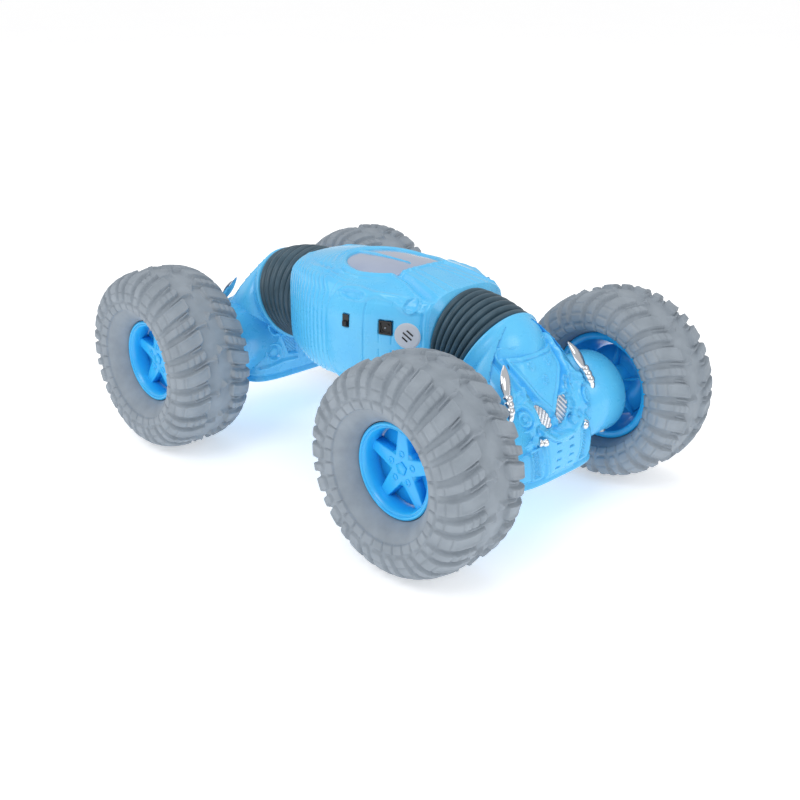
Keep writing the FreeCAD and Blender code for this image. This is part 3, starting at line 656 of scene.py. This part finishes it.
body = {
    "rows": 300,
    "around": 560,
    "endHalf": 24.2,
    "halfWidth": 39.0,
    "halfHeight": 28.6,
    "taper": 1.2,
    "square": 3.0,
    "endSquare": 4.4,
    "shrink": 0.5,
    "crown": 0.055,            # how far the roof falls away at the window's sides
    "pocket": 1.7,
    "window": ((21.5, 13.0), (19.0, 16.2), (12.0, 19.4), (3.0, 20.6), (-6.0, 18.8), (-12.5, 14.0),
               (-16.5, 7.5), (-17.8, 0.0)),
    "spineHalf": 1.7,
    "windowSink": 0.7,
    "windowMiddle": 2.5,
    "windowAround": 120,
    "windowSides": 59,
}


def bodySize(x):
    end = np.abs(x - bodyCentre) / bodyHalfLength
    fullness = np.maximum(0, 1 - end ** 2)
    width = body["endHalf"] + (body["halfWidth"] - body["endHalf"]) * fullness ** body["taper"]
    height = body["endHalf"] + (body["halfHeight"] - body["endHalf"]) * fullness
    return width - body["shrink"], height, body["square"] + (body["endSquare"] - body["square"]) * end


def windowOutline():
    half = list(body["window"])
    return half + [(x, -y) for x, y in reversed(half[:-1])]


def windowLoop(count):
    outline = windowOutline()
    return smoothPath(outline + outline[:1], count + 1)[:-1]


def windowDistance(x, y):
    return insideDistance(x, y, [tuple(point) for point in windowLoop(body["windowSides"])])


def spineDistance(x, y):
    # blue rib that runs back to front over the window and tapers to a point
    half = body["spineHalf"] * np.clip((16.0 - x) / 30.0, 0, 1) ** 0.7
    return np.abs(y) - half


def sideRelief(x, up):
    # raised and sunk detail of a side wall: x along the car, up from the middle plane
    relief = np.zeros(np.broadcast(x, up).shape)
    hook = x + 7.0 * ramp(up, 16, 24) ** 1.5
    fluted = ramp(hook, bodyLow[0] + 1, bodyLow[0] + 3) * ramp(-hook, -0.5, 1.5) * ramp(25.5 - up, 0, 2.5)
    wave = np.abs(np.sin(math.pi * hook / 3.7))
    relief += fluted * (0.8 * wave ** 0.5 - 0.55)
    relief += 0.55 * ramp(x, 0.6, 2.0) * ramp(24 - up, 0, 3)          # front panel stands proud
    relief -= 0.45 * groove(x - 22.5, 0.35) * ramp(18.5 - up, 0, 1)
    relief += 0.35 * ramp(x, 22.4, 23.6) * ramp(19 - up, 0, 1.5)
    lamp = np.hypot(x - 42.0, up - 18.6)
    relief += 0.75 * groove(lamp - 3.0, 0.55) - 0.5 * (lamp < 2.6)
    relief += drawn(x, up, (
        (0.7, 0.9, ((20.0, 19.4), (27.0, 20.6), (34.0, 19.6), (40.0, 17.0), (47.0, 16.4))),
        (0.8, 0.8, ((4.0, 17.6), (9.0, 21.5), (16.0, 22.6), (24.0, 21.0), (31.0, 21.6), (40.0, 22.6))),
    ))
    lens = np.hypot((x - 14.5) / 8.0, (up - 19.4) / 1.9) - 1
    relief += 0.6 * groove(lens * 2.2, 0.45) - 0.8 * ramp(-lens, 0.0, 0.5)
    for line in (-2.8, 2.6):
        relief += drawn(x, up, ((-0.28, 0.25, ((socket["x"] + line, 5.2), (socket["x"] + line, 1.6))),))
    relief -= 0.6 * groove(x - bodyHigh[0] + 2.9, 0.5) * ramp(20 - up, 0, 2)
    return relief


def topRelief(x, side):
    # detail of the top: x along the car, side out from the middle
    window = windowDistance(x, side)
    relief = 0.8 * groove(window - 1.5, 1.0) + 0.55 * groove(window - 4.8, 0.7) * ramp(-x, -20, -8)
    echoes = [(-0.3, at, 0.5) for at in (7.2, 9.4, 11.6)]
    relief += banded(window, echoes) * ramp(-x, -10, -2) * ramp(x, -30, -22)
    valley = ((21.5, 14.2), (30.0, 15.6), (38.0, 18.2), (50.0, 21.0))
    arch = ((-44.0, 8.0), (-40.0, 15.0), (-33.0, 20.5), (-24.0, 24.5), (-12.0, 26.0))
    lines = [
        (-1.9, 1.7, valley), (0.5, 1.2, [(a, b + 3.4) for a, b in valley]),
        (0.6, 1.3, arch), (-0.35, 0.7, [(a, b - 3.2) for a, b in arch]),
    ]
    for share in (0.3, 0.55, 0.8):
        crease = ((21.5, 14.0 * share), (34.0, 15.5 * share + 1), (49.0, 19.0 * share + 1.5))
        lines.append((0.32, 0.6, crease))
    for step in range(4):
        lines.append((-0.32, 0.45, [(a + 4.2 * step, b) for a, b in ((-18, 22.5), (-13, 25.0), (-5, 26.5))]))
    return relief + drawn(x, side, lines)


def bodyPart():
    x = np.linspace(bodyLow[0] + 0.15, bodyHigh[0] - 0.15, body["rows"])[:, None]
    angle = np.linspace(0, 2 * math.pi, body["around"], endpoint=False)[None, :]
    width, height, square = bodySize(x)
    c, s = squareRound(angle, square)
    y = width * c
    z = height * s
    roof = ramp(np.abs(z) / height, 0.72, 0.95) * np.minimum(1, (y / 22) ** 2)
    z = z * (1 - body["crown"] * roof)
    place = np.stack([np.broadcast_to(x, y.shape), y, z], 2)
    normal = np.cross(np.gradient(place, axis=0), np.gradient(place, axis=1))
    normal /= np.linalg.norm(normal, axis=2)[:, :, None]
    normal *= np.sign(normal[:, :, 1:2] * y[:, :, None] + normal[:, :, 2:3] * z[:, :, None])
    up = np.abs(z)
    side = np.abs(y)
    sideShare = ramp(np.abs(normal[:, :, 1]), 0.35, 0.62)
    topShare = 1 - sideShare
    relief = sideRelief(x, up) * sideShare + topRelief(x, side) * topShare
    window = windowDistance(x, side)
    spine = spineDistance(x, side)
    sink = ramp(-window, 0.0, 0.7) * ramp(spine, -0.3, 0.4) * topShare
    relief = relief * (1 - sink) - 2.2 * sink
    for fit, size in ((switch, switch["slot"]), (socket, (socket["face"], socket["face"]))):
        box = np.maximum(np.abs(x - fit["x"]) - size[0] / 2, np.abs(z - fit["up"]) - size[1] / 2)
        pocket = ramp(-box, -0.25, 0.1) * (y < 0)
        relief = relief * (1 - pocket) - body["pocket"] * pocket
    fade = ramp(bodyHalfLength - np.abs(x - bodyCentre), 0.2, 1.6)
    points = place + np.array([0, 0, bodyMid]) + normal * (relief * fade)[:, :, None]
    points[:, :, 2] = np.clip(points[:, :, 2], 2 * bodyMid - bodyHigh[2] + 0.05, bodyHigh[2] - 0.05)
    points = points.reshape(-1, 3).tolist()
    faces = gridFaces(body["rows"], body["around"], closeColumns=True)
    capEnds(points, faces, body["rows"], body["around"])
    return points, [face[::-1] for face in faces]


def topHeight(x, y):
    # height of the body's plain top above its middle plane
    width, height, square = bodySize(x)
    plain = height * (1 - np.minimum(np.abs(y) / width, 0.999) ** square) ** (1 / square)
    return plain * (1 - body["crown"] * np.minimum(1, (y / 22) ** 2))


def windowPart(sign):
    # pane that follows the roof, sunk a little, with a turned-down edge
    outline = windowLoop(body["windowAround"])
    rings = np.concatenate([np.linspace(0.02, 0.97, 40), [1.0, 1.015, 1.015]])
    drop = np.concatenate([np.zeros(40), [0.12, 0.5, 1.6]])
    centre = np.array([body["windowMiddle"], 0.0])
    points = []
    for scale, down in zip(rings, drop):
        spot = centre + (outline - centre) * scale
        z = topHeight(spot[:, 0], spot[:, 1]) - body["windowSink"] - down
        points.append(np.stack([spot[:, 0], spot[:, 1], bodyMid + sign * z], 1))
    points = np.vstack(points).tolist()
    faces = gridFaces(len(rings), body["windowAround"], closeColumns=True)
    capEnds(points, faces, len(rings), body["windowAround"])
    if sign > 0:
        faces = [face[::-1] for face in faces]
    return points, faces


def sidePlace(x, up):
    # point on the right wall, and how far the wall is turned there
    width, height, square = (float(v) for v in bodySize(np.float64(x)))
    share = (1 - (up / height) ** square) ** (1 / square)
    ahead = float(bodySize(np.float64(x + 0.1))[0])
    behind = float(bodySize(np.float64(x - 0.1))[0])
    return np.array([x, -width * share, bodyMid + up]), math.atan2(behind - ahead, 0.2)


def onSide(points, x, up):
    # from a frame with its outside facing -Y to the right wall
    place, turn = sidePlace(x, up)
    points = np.asarray(points, float).reshape(-1, 3)
    x, y = turned(points[:, 0], points[:, 1], turn)
    return np.stack([x, y, points[:, 2]], 1) + place


def bevelBox(size, centre, edge):
    # box with cut edges, made of two crossed rings
    sx, sy, sz = (v / 2 for v in size)
    rings = []
    for y, inset in ((-sy, edge), (-sy + edge, 0), (sy - edge, 0), (sy, edge)):
        ring = []
        for cx, cz in ((1, 1), (-1, 1), (-1, -1), (1, -1)):
            w, h = sx - inset, sz - inset
            corner = ((w, h - edge), (w - edge, h)) if cx * cz > 0 else ((w - edge, h), (w, h - edge))
            for a, b in corner:
                ring.append((centre[0] + cx * a, centre[1] + y, centre[2] + cz * b))
        rings.append(ring)
    points = [point for ring in rings for point in ring]
    faces = gridFaces(4, 8, closeColumns=True)
    capEnds(points, faces, 4, 8)
    return points, faces


switch = {"x": 13.5, "up": 8.5, "slot": (3.4, 5.6), "knob": (2.4, 2.4)}
socket = {"x": 32.8, "up": 8.5, "face": 6.0, "bore": 1.9, "pin": 0.45}
label = {"x": 42.0, "up": 6.0, "radius": 5.8, "lean": -38.0, "lift": 1.25,
         "bars": ((1.9, 3.6), (0.0, 5.0), (-1.9, 3.0))}


def makeBody():
    points, faces = bodyPart()
    makePiece("bodyShellLook", points, faces, skyAbs, "car_body",
              ("body_shell_upper", "body_shell_lower"))
    for name, sign in (("window_top", 1), ("window_bottom", -1)):
        points, faces = windowPart(sign)
        makePiece(name + "Look", points, faces, windowTint, "car_body", (name,))
    slot = bevelBox((switch["slot"][0], 0.5, switch["slot"][1]), (0, -0.55, 0), 0.12)
    makePiece("switchSlotLook", onSide(slot[0], switch["x"], switch["up"]), slot[1], blackPlastic,
              "car_body", ("switch_housing",), flat=True)
    low = -switch["slot"][1] / 2 + 0.2 + switch["knob"][1] / 2
    knob = [bevelBox((switch["knob"][0], 2.0, switch["knob"][1]), (0, -0.7, low), 0.15)]
    for step in (-1, 0, 1):
        knob.append(bevelBox((switch["knob"][0] - 0.3, 0.3, 0.25), (0, -1.75, low + 0.7 * step), 0.05))
    points, faces = joined(knob)
    makePiece("switchKnobLook", onSide(points, switch["x"], switch["up"]), faces, blackPlastic,
              "power_switch", ("switch_knob",), flat=True)
    makeSocket()
    makeLabel()


def makeSocket():
    half = socket["face"] / 2
    inner = socket["face"] - 1.6
    frameParts = []
    for cx, cz, w, h in ((0, half - 0.4, socket["face"], 0.8), (0, 0.4 - half, socket["face"], 0.8),
                         (half - 0.4, 0, 0.8, inner), (0.4 - half, 0, 0.8, inner)):
        frameParts.append(bevelBox((w, 0.9, h), (cx, -0.95, cz), 0.1))
    frameParts.append(bevelBox((socket["face"] - 1.2, 0.5, socket["face"] - 1.2), (0, -0.55, 0), 0.05))
    ring = lathe([(-1.15, socket["bore"]), (-1.15, socket["bore"] + 0.4), (-0.6, socket["bore"] + 0.4),
                  (-0.6, socket["bore"])], 32)
    frameParts.append(ring)
    points, faces = joined(frameParts)
    makePiece("chargeSocketLook", onSide(points, socket["x"], socket["up"]), faces, blackPlastic, "car_body",
              ("charge_socket",), flat=True)
    pin = tube([(0, -0.5, 0), (0, -1.0, 0), (0, -1.25, 0), (0, -1.35, 0)],
               [socket["pin"], socket["pin"], socket["pin"] * 0.8, 0.1], 16, wide=(1, 0, 0))
    makePiece("socketPinLook", onSide(pin[0], socket["x"], socket["up"]), pin[1], zincSteel,
              "car_body")


def makeLabel():
    rings, steps = 14, 48
    grid = []
    for k in range(rings):
        r = label["radius"] * (k + 0.001) / (rings - 1)
        for j in range(steps):
            a = 2 * math.pi * j / steps
            place, turn = sidePlace(label["x"] + r * math.cos(a) * 0.92, label["up"] + r * math.sin(a))
            lift = label["lift"] if k < rings - 1 else label["lift"] - 0.35
            grid.append(place + lift * np.array([math.sin(turn), -math.cos(turn), 0]))
    makePiece("labelDiscLook", grid, gridFaces(rings, steps, closeColumns=True), labelFilm,
              "car_body", ("label_disc",))
    bars = [bevelBox((width, 0.12, 0.7), (0, -1.32, row), 0.03) for row, width in label["bars"]]
    points, faces = joined(bars)
    points = np.asarray(points)
    x, z = turned(points[:, 0], points[:, 2], math.radians(label["lean"]))
    points = np.stack([x, points[:, 1], z], 1)
    makePiece("labelPrintLook", onSide(points, label["x"], label["up"]), faces, inkBlack,
              "car_body")


makeBody()
print("central body made")


# Axle modules

pod = {
    # height, back, front and half width of the section there
    "levels": ((23.6, 68.0, 105.4, 27.6), (25.5, 66.8, 106.4, 28.8), (29.0, 66.0, 106.9, 29.3),
               (38.0, 65.0, 107.5, 29.5), (50.0, 66.0, 105.0, 29.6), (60.0, 68.5, 99.5, 28.4),
               (70.0, 71.5, 93.0, 24.6), (79.0, 75.0, 86.5, 17.5), (86.5, 77.5, 81.5, 9.0)),
    "square": (4.2, 3.0),      # at the skirt, and from the middle up
    "depth": 1.35,             # how strongly the moulded relief stands out
    "rows": 260,
    "around": 520,
    "shield": ((14.5, 75.0), (13.0, 68.0), (7.5, 59.5), (0.0, 51.0), (-7.5, 59.5), (-13.0, 68.0),
               (-14.5, 75.0)),
    "rivets": ((5.3, 71.0), (-5.3, 71.0), (0.0, 64.8)),
    "insert": (6.4, 51.6, 3.1, 6.4, 38.0),      # across, height, half width, half height, lean
    "plate": ((13.5, 49.5), (6.0, 44.6), (-6.0, 44.6), (-13.5, 49.5), (-12.5, 38.0), (-9.5, 26.5),
              (9.5, 26.5), (12.5, 38.0)),
    "stud": (13.2, 44.5),
}


housing = {"start": 12.0, "reach": 47.9}
dome = {"ball": 23.7, "behind": 2.0, "steps": 128, "rings": 24}


def podSection(z):
    dense = smoothPath(pod["levels"], 200)
    back, front, half = (np.interp(z, dense[:, 0], dense[:, k]) for k in (1, 2, 3))
    low, high = pod["square"]
    return back, front, half, low + (high - low) * ramp(z, 24, 50)


def frontShape(across, z):
    # how far the front face stands ahead of its plain section: sunk between the engines,
    # full over each engine, cut back beside the top of the shield
    side = np.abs(across)
    shelf = 44.4 + 5.4 * (side / 13.5) ** 2
    well = ramp(z - shelf, -0.3, 0.9) * ramp(10.6 + 0.2 * (z - 47) - side, -1.0, 1.6)
    shape = -3.8 * well * (1 - 0.8 * ramp(z, 57, 69))
    shape = shape - 2.6 * ramp(side, 8, 14) * ramp(z, 66, 73) - 0.9 * ramp(z, 60, 66)
    shape = shape + 2.3 * groove(np.hypot(side - 20.8, z - 55.5), 6.8)
    return shape + 1.5 * groove(z - shelf + 0.9, 1.3) * ramp(14.5 - side, 0, 2)


def podFront(across, z):
    # x of the front face at a point in the front view, without its relief
    back, front, half, square = podSection(z)
    share = (1 - np.minimum(np.abs(across) / half, 0.98) ** square) ** (1 / square)
    return (back + front) / 2 + (front - back) / 2 * share + frontShape(across, z)


def insertDistance(across, z):
    y, up, halfWide, halfHigh, leanDegrees = pod["insert"]
    lean = math.radians(leanDegrees)
    du = np.abs(across) - y
    dv = z - up
    a = du * math.cos(lean) - dv * math.sin(lean)
    b = du * math.sin(lean) + dv * math.cos(lean)
    wide = halfWide * np.sqrt(np.maximum(0.0, 1 - (np.clip(b, -halfHigh, halfHigh) / halfHigh) ** 2)) ** 1.3
    return np.maximum(np.abs(a) - wide, np.abs(b) - halfHigh), a, b


def frontRelief(across, z):
    side = np.abs(across)
    shield = insideDistance(across, z, pod["shield"])
    relief = 1.1 * ramp(-shield, -0.15, 0.4) + banded(shield, ((-1.1, 1.4, 0.8), (-0.5, -1.9, 0.35)))
    relief += 1.0 * groove(shield - 3.4, 0.7) * ramp(z, 52, 58)
    relief -= 0.6 * groove(shield - 5.0, 0.6) * ramp(z, 56, 62)
    for y, up in pod["rivets"]:
        away = np.hypot(across - y, z - up)
        relief += 0.6 * ramp(1.9 - away, -0.15, 0.3) - 0.45 * ramp(1.2 - away, -0.15, 0.3)
    insert, _, _ = insertDistance(across, z)
    relief += 0.7 * groove(insert - 0.9, 0.5) - 1.5 * ramp(-insert, -0.1, 0.5)
    plate = insideDistance(across, z, pod["plate"])
    relief += 0.9 * ramp(-plate, -0.3, 0.6) + banded(plate, ((-0.7, 1.2, 0.8), (-0.4, -1.6, 0.3)))
    for row in range(4):
        slot = np.maximum(np.abs(side - 4.2) - 1.5, np.abs(z - 41.5 + 3.6 * row) - 0.35)
        relief -= 1.0 * ramp(-slot, -0.1, 0.3)
    panel = insideDistance(side, z, ((14.6, 41.5), (18.6, 40.5), (17.2, 28.5), (12.6, 28.5)))
    relief += 0.8 * groove(panel - 0.9, 0.5) - 0.8 * ramp(-panel, -0.1, 0.5)
    relief += 0.6 * groove(np.sin((side * 0.7 + z) * 2.1), 0.4) * (panel < -0.6)
    swirl = np.hypot(side - 20.5, z - 55.0)
    relief += banded(swirl, ((0.8, 4.8, 0.6), (-0.7, 3.7, 0.45), (0.7, 2.5, 0.5), (-0.5, 1.3, 0.5)))
    return relief + drawn(side, z, (
        (0.7, 0.5, ((15.0, 61.5), (19.0, 60.5), (24.5, 57.0))),
        (0.7, 0.5, ((15.0, 64.5), (19.0, 63.5), (24.5, 60.0))),
        (0.8, 0.9, ((14.0, 47.0), (17.5, 44.8), (21.5, 44.0), (26.0, 45.0))),
        (-0.7, 0.8, ((15.5, 42.8), (20.0, 41.0), (27.0, 41.0))),
        (0.7, 0.9, ((16.5, 73.0), (19.0, 66.0), (22.5, 60.5))),
    ))


def flankRelief(x, z):
    # vents and swirls on the module's sides
    swirl = np.hypot(x - 82.0, z - 36.0)
    relief = banded(swirl, ((0.7, 4.6, 0.6), (-0.5, 3.4, 0.5), (0.5, 2.0, 0.5)))
    lines = [
        (0.7, 0.7, ((69.0, 45.0), (76.0, 43.5), (86.0, 44.5), (95.0, 42.0))),
        (-0.6, 0.6, ((70.0, 33.0), (76.0, 30.5), (92.0, 30.5))),
    ]
    for shift in (0.0, 2.4, 4.8, 7.2):
        lines.append((0.75, 0.45, ((70.5 + shift, 52.0 + shift * 0.5), (77.5 + shift, 60.0 + shift * 0.5))))
    return relief + drawn(x, z, lines)


def backRelief(across, z):
    # the side that faces the body: a screw hole and a striped panel on each half
    side = np.abs(across)
    hole = np.hypot(side - 15.0, z - 52.0)
    relief = 0.7 * groove(hole - 3.4, 0.6) - 2.2 * ramp(2.4 - hole, -0.2, 0.5)
    panel = insideDistance(side, z, ((2.5, 48.0), (11.5, 47.0), (8.5, 38.0), (3.0, 37.0)))
    relief += 0.6 * groove(panel - 0.8, 0.5) - 0.6 * ramp(-panel, -0.1, 0.5)
    relief += 0.5 * groove(np.sin((side - z) * 1.9), 0.4) * (panel < -0.5)
    relief += banded(np.hypot(side - 17.0, z - 40.0), ((0.7, 4.2, 0.6), (-0.5, 2.8, 0.6)))
    return relief + drawn(side, z, ((0.8, 0.8, ((3.0, 33.5), (12.0, 34.0), (24.0, 31.5))),))


def podPart():
    z = np.linspace(pod["levels"][0][0], pod["levels"][-1][0], pod["rows"])[:, None]
    angle = np.linspace(0, 2 * math.pi, pod["around"], endpoint=False)[None, :]
    back, front, half, square = podSection(z)
    c, s = squareRound(angle, square)
    x = (back + front) / 2 + (front - back) / 2 * c
    y = half * s
    z = np.broadcast_to(z, x.shape)
    outward = np.stack([x - (back + front) / 2, y, 0 * x], 2)

    def outwardNormal(place):
        normal = np.cross(np.gradient(place, axis=1), np.gradient(place, axis=0))
        normal /= np.linalg.norm(normal, axis=2)[:, :, None]
        return normal * np.sign(np.sum(normal * outward, 2))[:, :, None]

    plain = outwardNormal(np.stack([x, y, z], 2))
    faceFront = ramp(plain[:, :, 0], 0.15, 0.4)
    faceBack = ramp(-plain[:, :, 0], 0.35, 0.6)
    faceSide = (1 - faceFront) * (1 - faceBack)
    edgeFade = ramp(z, 24.5, 30.0)
    x = x + frontShape(y, z) * faceFront * edgeFade
    place = np.stack([x, y, z], 2)
    normal = outwardNormal(place)
    relief = frontRelief(y, z) * faceFront + flankRelief(x, z) * faceSide + backRelief(y, z) * faceBack
    relief *= pod["depth"]
    bottom = pod["levels"][0][0]
    skirt = 0.9 * groove(z - bottom - 1.3, 0.8) - 0.8 * groove(z - bottom - 3.6, 0.7)
    relief = (relief * edgeFade + skirt) * ramp(z, bottom, bottom + 1) - 0.3
    points = (place + normal * relief[:, :, None]).reshape(-1, 3)
    points[:, 2] = np.maximum(points[:, 2], bottom)
    points = points.tolist()
    faces = gridFaces(pod["rows"], pod["around"], closeColumns=True)
    capEnds(points, faces, pod["rows"], pod["around"])
    return points, faces


def domePart():
    # smooth hood behind the bellows, with a rolled lip round the collar
    slope = math.radians(bellows["collarSlope"])
    forward = np.array([math.cos(slope), 0, -math.sin(slope)])
    upward = np.array([math.sin(slope), 0, math.cos(slope)])
    collar = np.array([bellows["collarRing"][0], 0, bellows["collarRing"][1]])
    ball, behind = dome["ball"], dome["behind"]
    profile = [(0.6, 18.0), (0.05, 20.5), (0.0, 22.9), (0.3, 23.7), (0.9, 24.0), (1.5, 23.8)]
    for step in range(dome["rings"]):
        a = math.radians(10 + 80 * step / dome["rings"])
        profile.append((ball * math.sin(a) - behind, ball * math.cos(a)))
    profile.append((ball - behind, 0.05))
    profile.append((0.6, 0.05))
    steps = dome["steps"]
    points = []
    for along, r in profile:
        for j in range(steps):
            a = 2 * math.pi * j / steps
            outward = upward * math.cos(a) + np.array([0, math.sin(a), 0])
            points.append(collar + forward * along + r * outward)
    return points, gridFaces(len(profile), steps, True, True)


def housingPart():
    # axle tube to each wheel: a plain drum with a turned end face round the shaft
    reach = housing["reach"]
    start = housing["start"]
    profile = [(start, 19.0), (reach - 0.9, 19.2), (reach - 0.2, 19.0), (reach, 18.3), (reach, 14.6),
               (reach - 1.0, 14.2), (reach - 1.0, 6.2), (reach, 5.8), (reach, 2.4), (start, 2.4)]
    points, faces = lathe(profile, 96)
    return points + np.array([wheelCentre[0], 0, wheelCentre[2]]), faces


def modulePipes():
    # chrome blade above a ribbed pipe that ends in an elbow, on each front shoulder
    low = smoothPath([(98.2, 27.6, 54.8), (99.6, 27.0, 57.2), (98.6, 26.3, 60.2), (96.0, 25.2, 64.8)], 72)
    t = np.linspace(0, 1, 72)
    bands = 0.5 * np.abs(np.sin(math.pi * 3 * np.clip((t - 0.34) / 0.66, 0, 1))) ** 0.4 * (t > 0.34)
    radii = 1.75 + bands + 0.45 * groove(t - 0.1, 0.1)
    radii[:3] = (1.1, 1.7, 2.0)
    pipe = tube(low, radii, 24)
    high = smoothPath([(96.0, 25.2, 64.8), (94.6, 24.4, 67.5), (92.6, 22.8, 71.5), (90.2, 21.0, 75.6)], 40)
    t = np.linspace(0, 1, 40)
    blade = tube(high, 0.08 + 2.7 * np.sin(math.pi * (0.2 + 0.8 * t)) ** 0.75, 24, squash=0.5)
    return joined([pipe, blade, mirrored(pipe), mirrored(blade)])


def studParts():
    # chrome bolt that pokes out of a cup beside each end of the lower plate
    y, z = pod["stud"]
    x = float(podFront(y, z))
    path = smoothPath([(x - 2.2, y + 4.4, z + 0.9), (x - 0.2, y + 2.6, z + 0.2), (x + 1.3, y + 0.6, z),
                       (x + 1.9, y - 1.0, z + 0.2)], 40)
    t = np.linspace(0, 1, 40)
    radii = 1.0 + 0.75 * ramp(t, 0.35, 0.5) - 0.35 * groove(t - 0.66, 0.05) - 0.5 * ramp(t, 0.9, 1.0)
    stud = tube(path, radii, 24, wide=(0, 0, 1))
    cup = tube(smoothPath([(x - 2.6, y + 3.6, z + 0.8), (x - 0.6, y + 2.2, z + 0.3)], 12), [2.6] * 12, 28,
               wide=(0, 0, 1))
    return joined([stud, mirrored(stud)]), joined([cup, mirrored(cup)])


def insertPart():
    # leaf of silver foil with slanting ridges, following the front face
    y, up, halfWide, halfHigh, leanDegrees = pod["insert"]
    lean = math.radians(leanDegrees)
    rows, columns = 80, 40
    b = np.linspace(-0.97, 0.97, rows)[:, None] * halfHigh
    wide = halfWide * np.sqrt(1 - (b / halfHigh) ** 2) ** 1.3
    a = np.linspace(-1, 1, columns)[None, :] * wide
    across = y + a * math.cos(lean) + b * math.sin(lean)
    z = up - a * math.sin(lean) + b * math.cos(lean)
    ridge = np.abs(np.sin(math.pi * (a * 0.25 + b) / 1.9)) ** 0.7
    x = podFront(across, z) - 0.85 + 0.6 * ridge
    top = np.stack([x, across, z], 2).reshape(-1, 3)
    under = top - np.array([1.2, 0, 0])
    faces = gridFaces(rows, columns)
    count = rows * columns
    faces += [[i + count for i in face[::-1]] for face in faces]
    edge = list(range(columns)) + [r * columns + columns - 1 for r in range(1, rows)]
    edge += [(rows - 1) * columns + c for c in range(columns - 2, -1, -1)]
    edge += [r * columns for r in range(rows - 2, 0, -1)]
    for k in range(len(edge)):
        i, j = edge[k], edge[(k + 1) % len(edge)]
        faces.append([j, i, i + count, j + count])
    left = (np.vstack([top, under]), faces)
    return joined([left, mirrored(left)])


def makeModules():
    studs, cups = studParts()
    shell = joined([podPart(), domePart(), housingPart(), mirrored(housingPart()), cups])
    shapes = {
        "shellLook": (shell, skyAbs, "body_blue", ("shell_upper", "shell_lower")),
        "pipesLook": (joined([modulePipes(), studs]), chromePlate, "chrome_trim", ("pipes",)),
        "insertsLook": (insertPart(), silverFoil, "silver_mesh", ("mesh_inserts",)),
    }
    for end, (bodyName, sign) in slotBodies.items():
        for kind, ((points, faces), material, slotName, stands) in shapes.items():
            spots = points if sign > 0 else turnedRear(points)
            makePiece(end + kind[0].upper() + kind[1:], spots, faces, material, bodyName,
                      tuple(end + "_" + name for name in stands))


makeModules()
print("axle modules made")


# Finishes for the CAD parts that stay as they are

nodeFinish = (
    (batteryWrap, ("battery_pack",)),
    (boardLaminate, ("circuit_board",)),
    (zincSteel, ("screws", "twist_motor", "drive_motors", "shaft")),
    (naturalNylon, ("swivel_bearing", "swivel_tube", "gearbox", "idler", "pinion")),
)
for nodeName, node in nodes.items():
    for finish, keys in nodeFinish:
        if any(key in nodeName for key in keys):
            node.data.materials.clear()
            node.data.materials.append(finish)
print("inner parts finished")


# Floor, light and camera

stage = {"size": 80.0, "world": 0.6, "glow": 0.4}
cameraView = {
    "place": (349.79, -334.09, 223.07),
    "right": (0.69816435, 0.71590204, 0.0071272),
    "up": (-0.27233377, 0.25635322, 0.92742511),
    "lens": 48.06,
}
# name, place in metres, size across, watts; each one faces the car's middle
lamps = (
    ("keyPanel", (0.25, -0.9, 1.15), 0.7, 4.5),
    ("fillPanel", (-1.0, -0.5, 0.7), 0.7, 1.2),
    ("frontPanel", (1.1, 0.1, 0.8), 0.6, 1.8),
    ("topPanel", (-0.1, 0.3, 1.4), 1.0, 2.5),
)
lampTarget = (0, 0, 0.05)


def makeStage():
    half = stage["size"] / 2
    mesh = bpy.data.meshes.new("floor")
    corners = [(-half, -half, 0), (half, -half, 0), (half, half, 0), (-half, half, 0)]
    mesh.from_pydata(corners, [], [[0, 1, 2, 3]])
    floor = bpy.data.objects.new("floor", mesh)
    bpy.context.scene.collection.objects.link(floor)
    finish, tree, shader, place = newFinish("paperSweepMatt", {"Roughness": 0.9, "Specular IOR Level": 0.1})
    tree.links.new(mottle(tree, place, 400, ("FDFDFE", "FFFFFF")), shader.inputs["Base Color"])
    shader.inputs["Emission Color"].default_value = (1, 1, 1, 1)
    shader.inputs["Emission Strength"].default_value = stage["glow"]
    mesh.materials.append(finish)
    world = bpy.data.worlds.new("studio")
    world.use_nodes = True
    world.node_tree.nodes["Background"].inputs["Color"].default_value = (1, 1, 1, 1)
    world.node_tree.nodes["Background"].inputs["Strength"].default_value = stage["world"]
    bpy.context.scene.world = world


def makeLamps():
    for name, place, size, power in lamps:
        data = bpy.data.lights.new(name, "AREA")
        data.shape = "DISK"
        data.size = size
        data.energy = power
        lamp = bpy.data.objects.new(name, data)
        bpy.context.scene.collection.objects.link(lamp)
        lamp.location = place
        lamp.rotation_euler = (Vector(place) - Vector(lampTarget)).to_track_quat("Z", "Y").to_euler()


def makeCamera():
    data = bpy.data.cameras.new("camera")
    data.lens = cameraView["lens"]
    data.clip_start = 0.01
    camera = bpy.data.objects.new("camera", data)
    bpy.context.scene.collection.objects.link(camera)
    right, up = Vector(cameraView["right"]), Vector(cameraView["up"])
    back = right.cross(up)
    turn = Matrix((right, up, back)).transposed().to_4x4()
    camera.matrix_world = Matrix.Translation(Vector(cameraView["place"]) / 1000) @ turn
    bpy.context.scene.camera = camera


makeStage()
makeLamps()
makeCamera()
bpy.context.scene.view_settings.view_transform = "Standard"
print("stage, lamps and camera made")
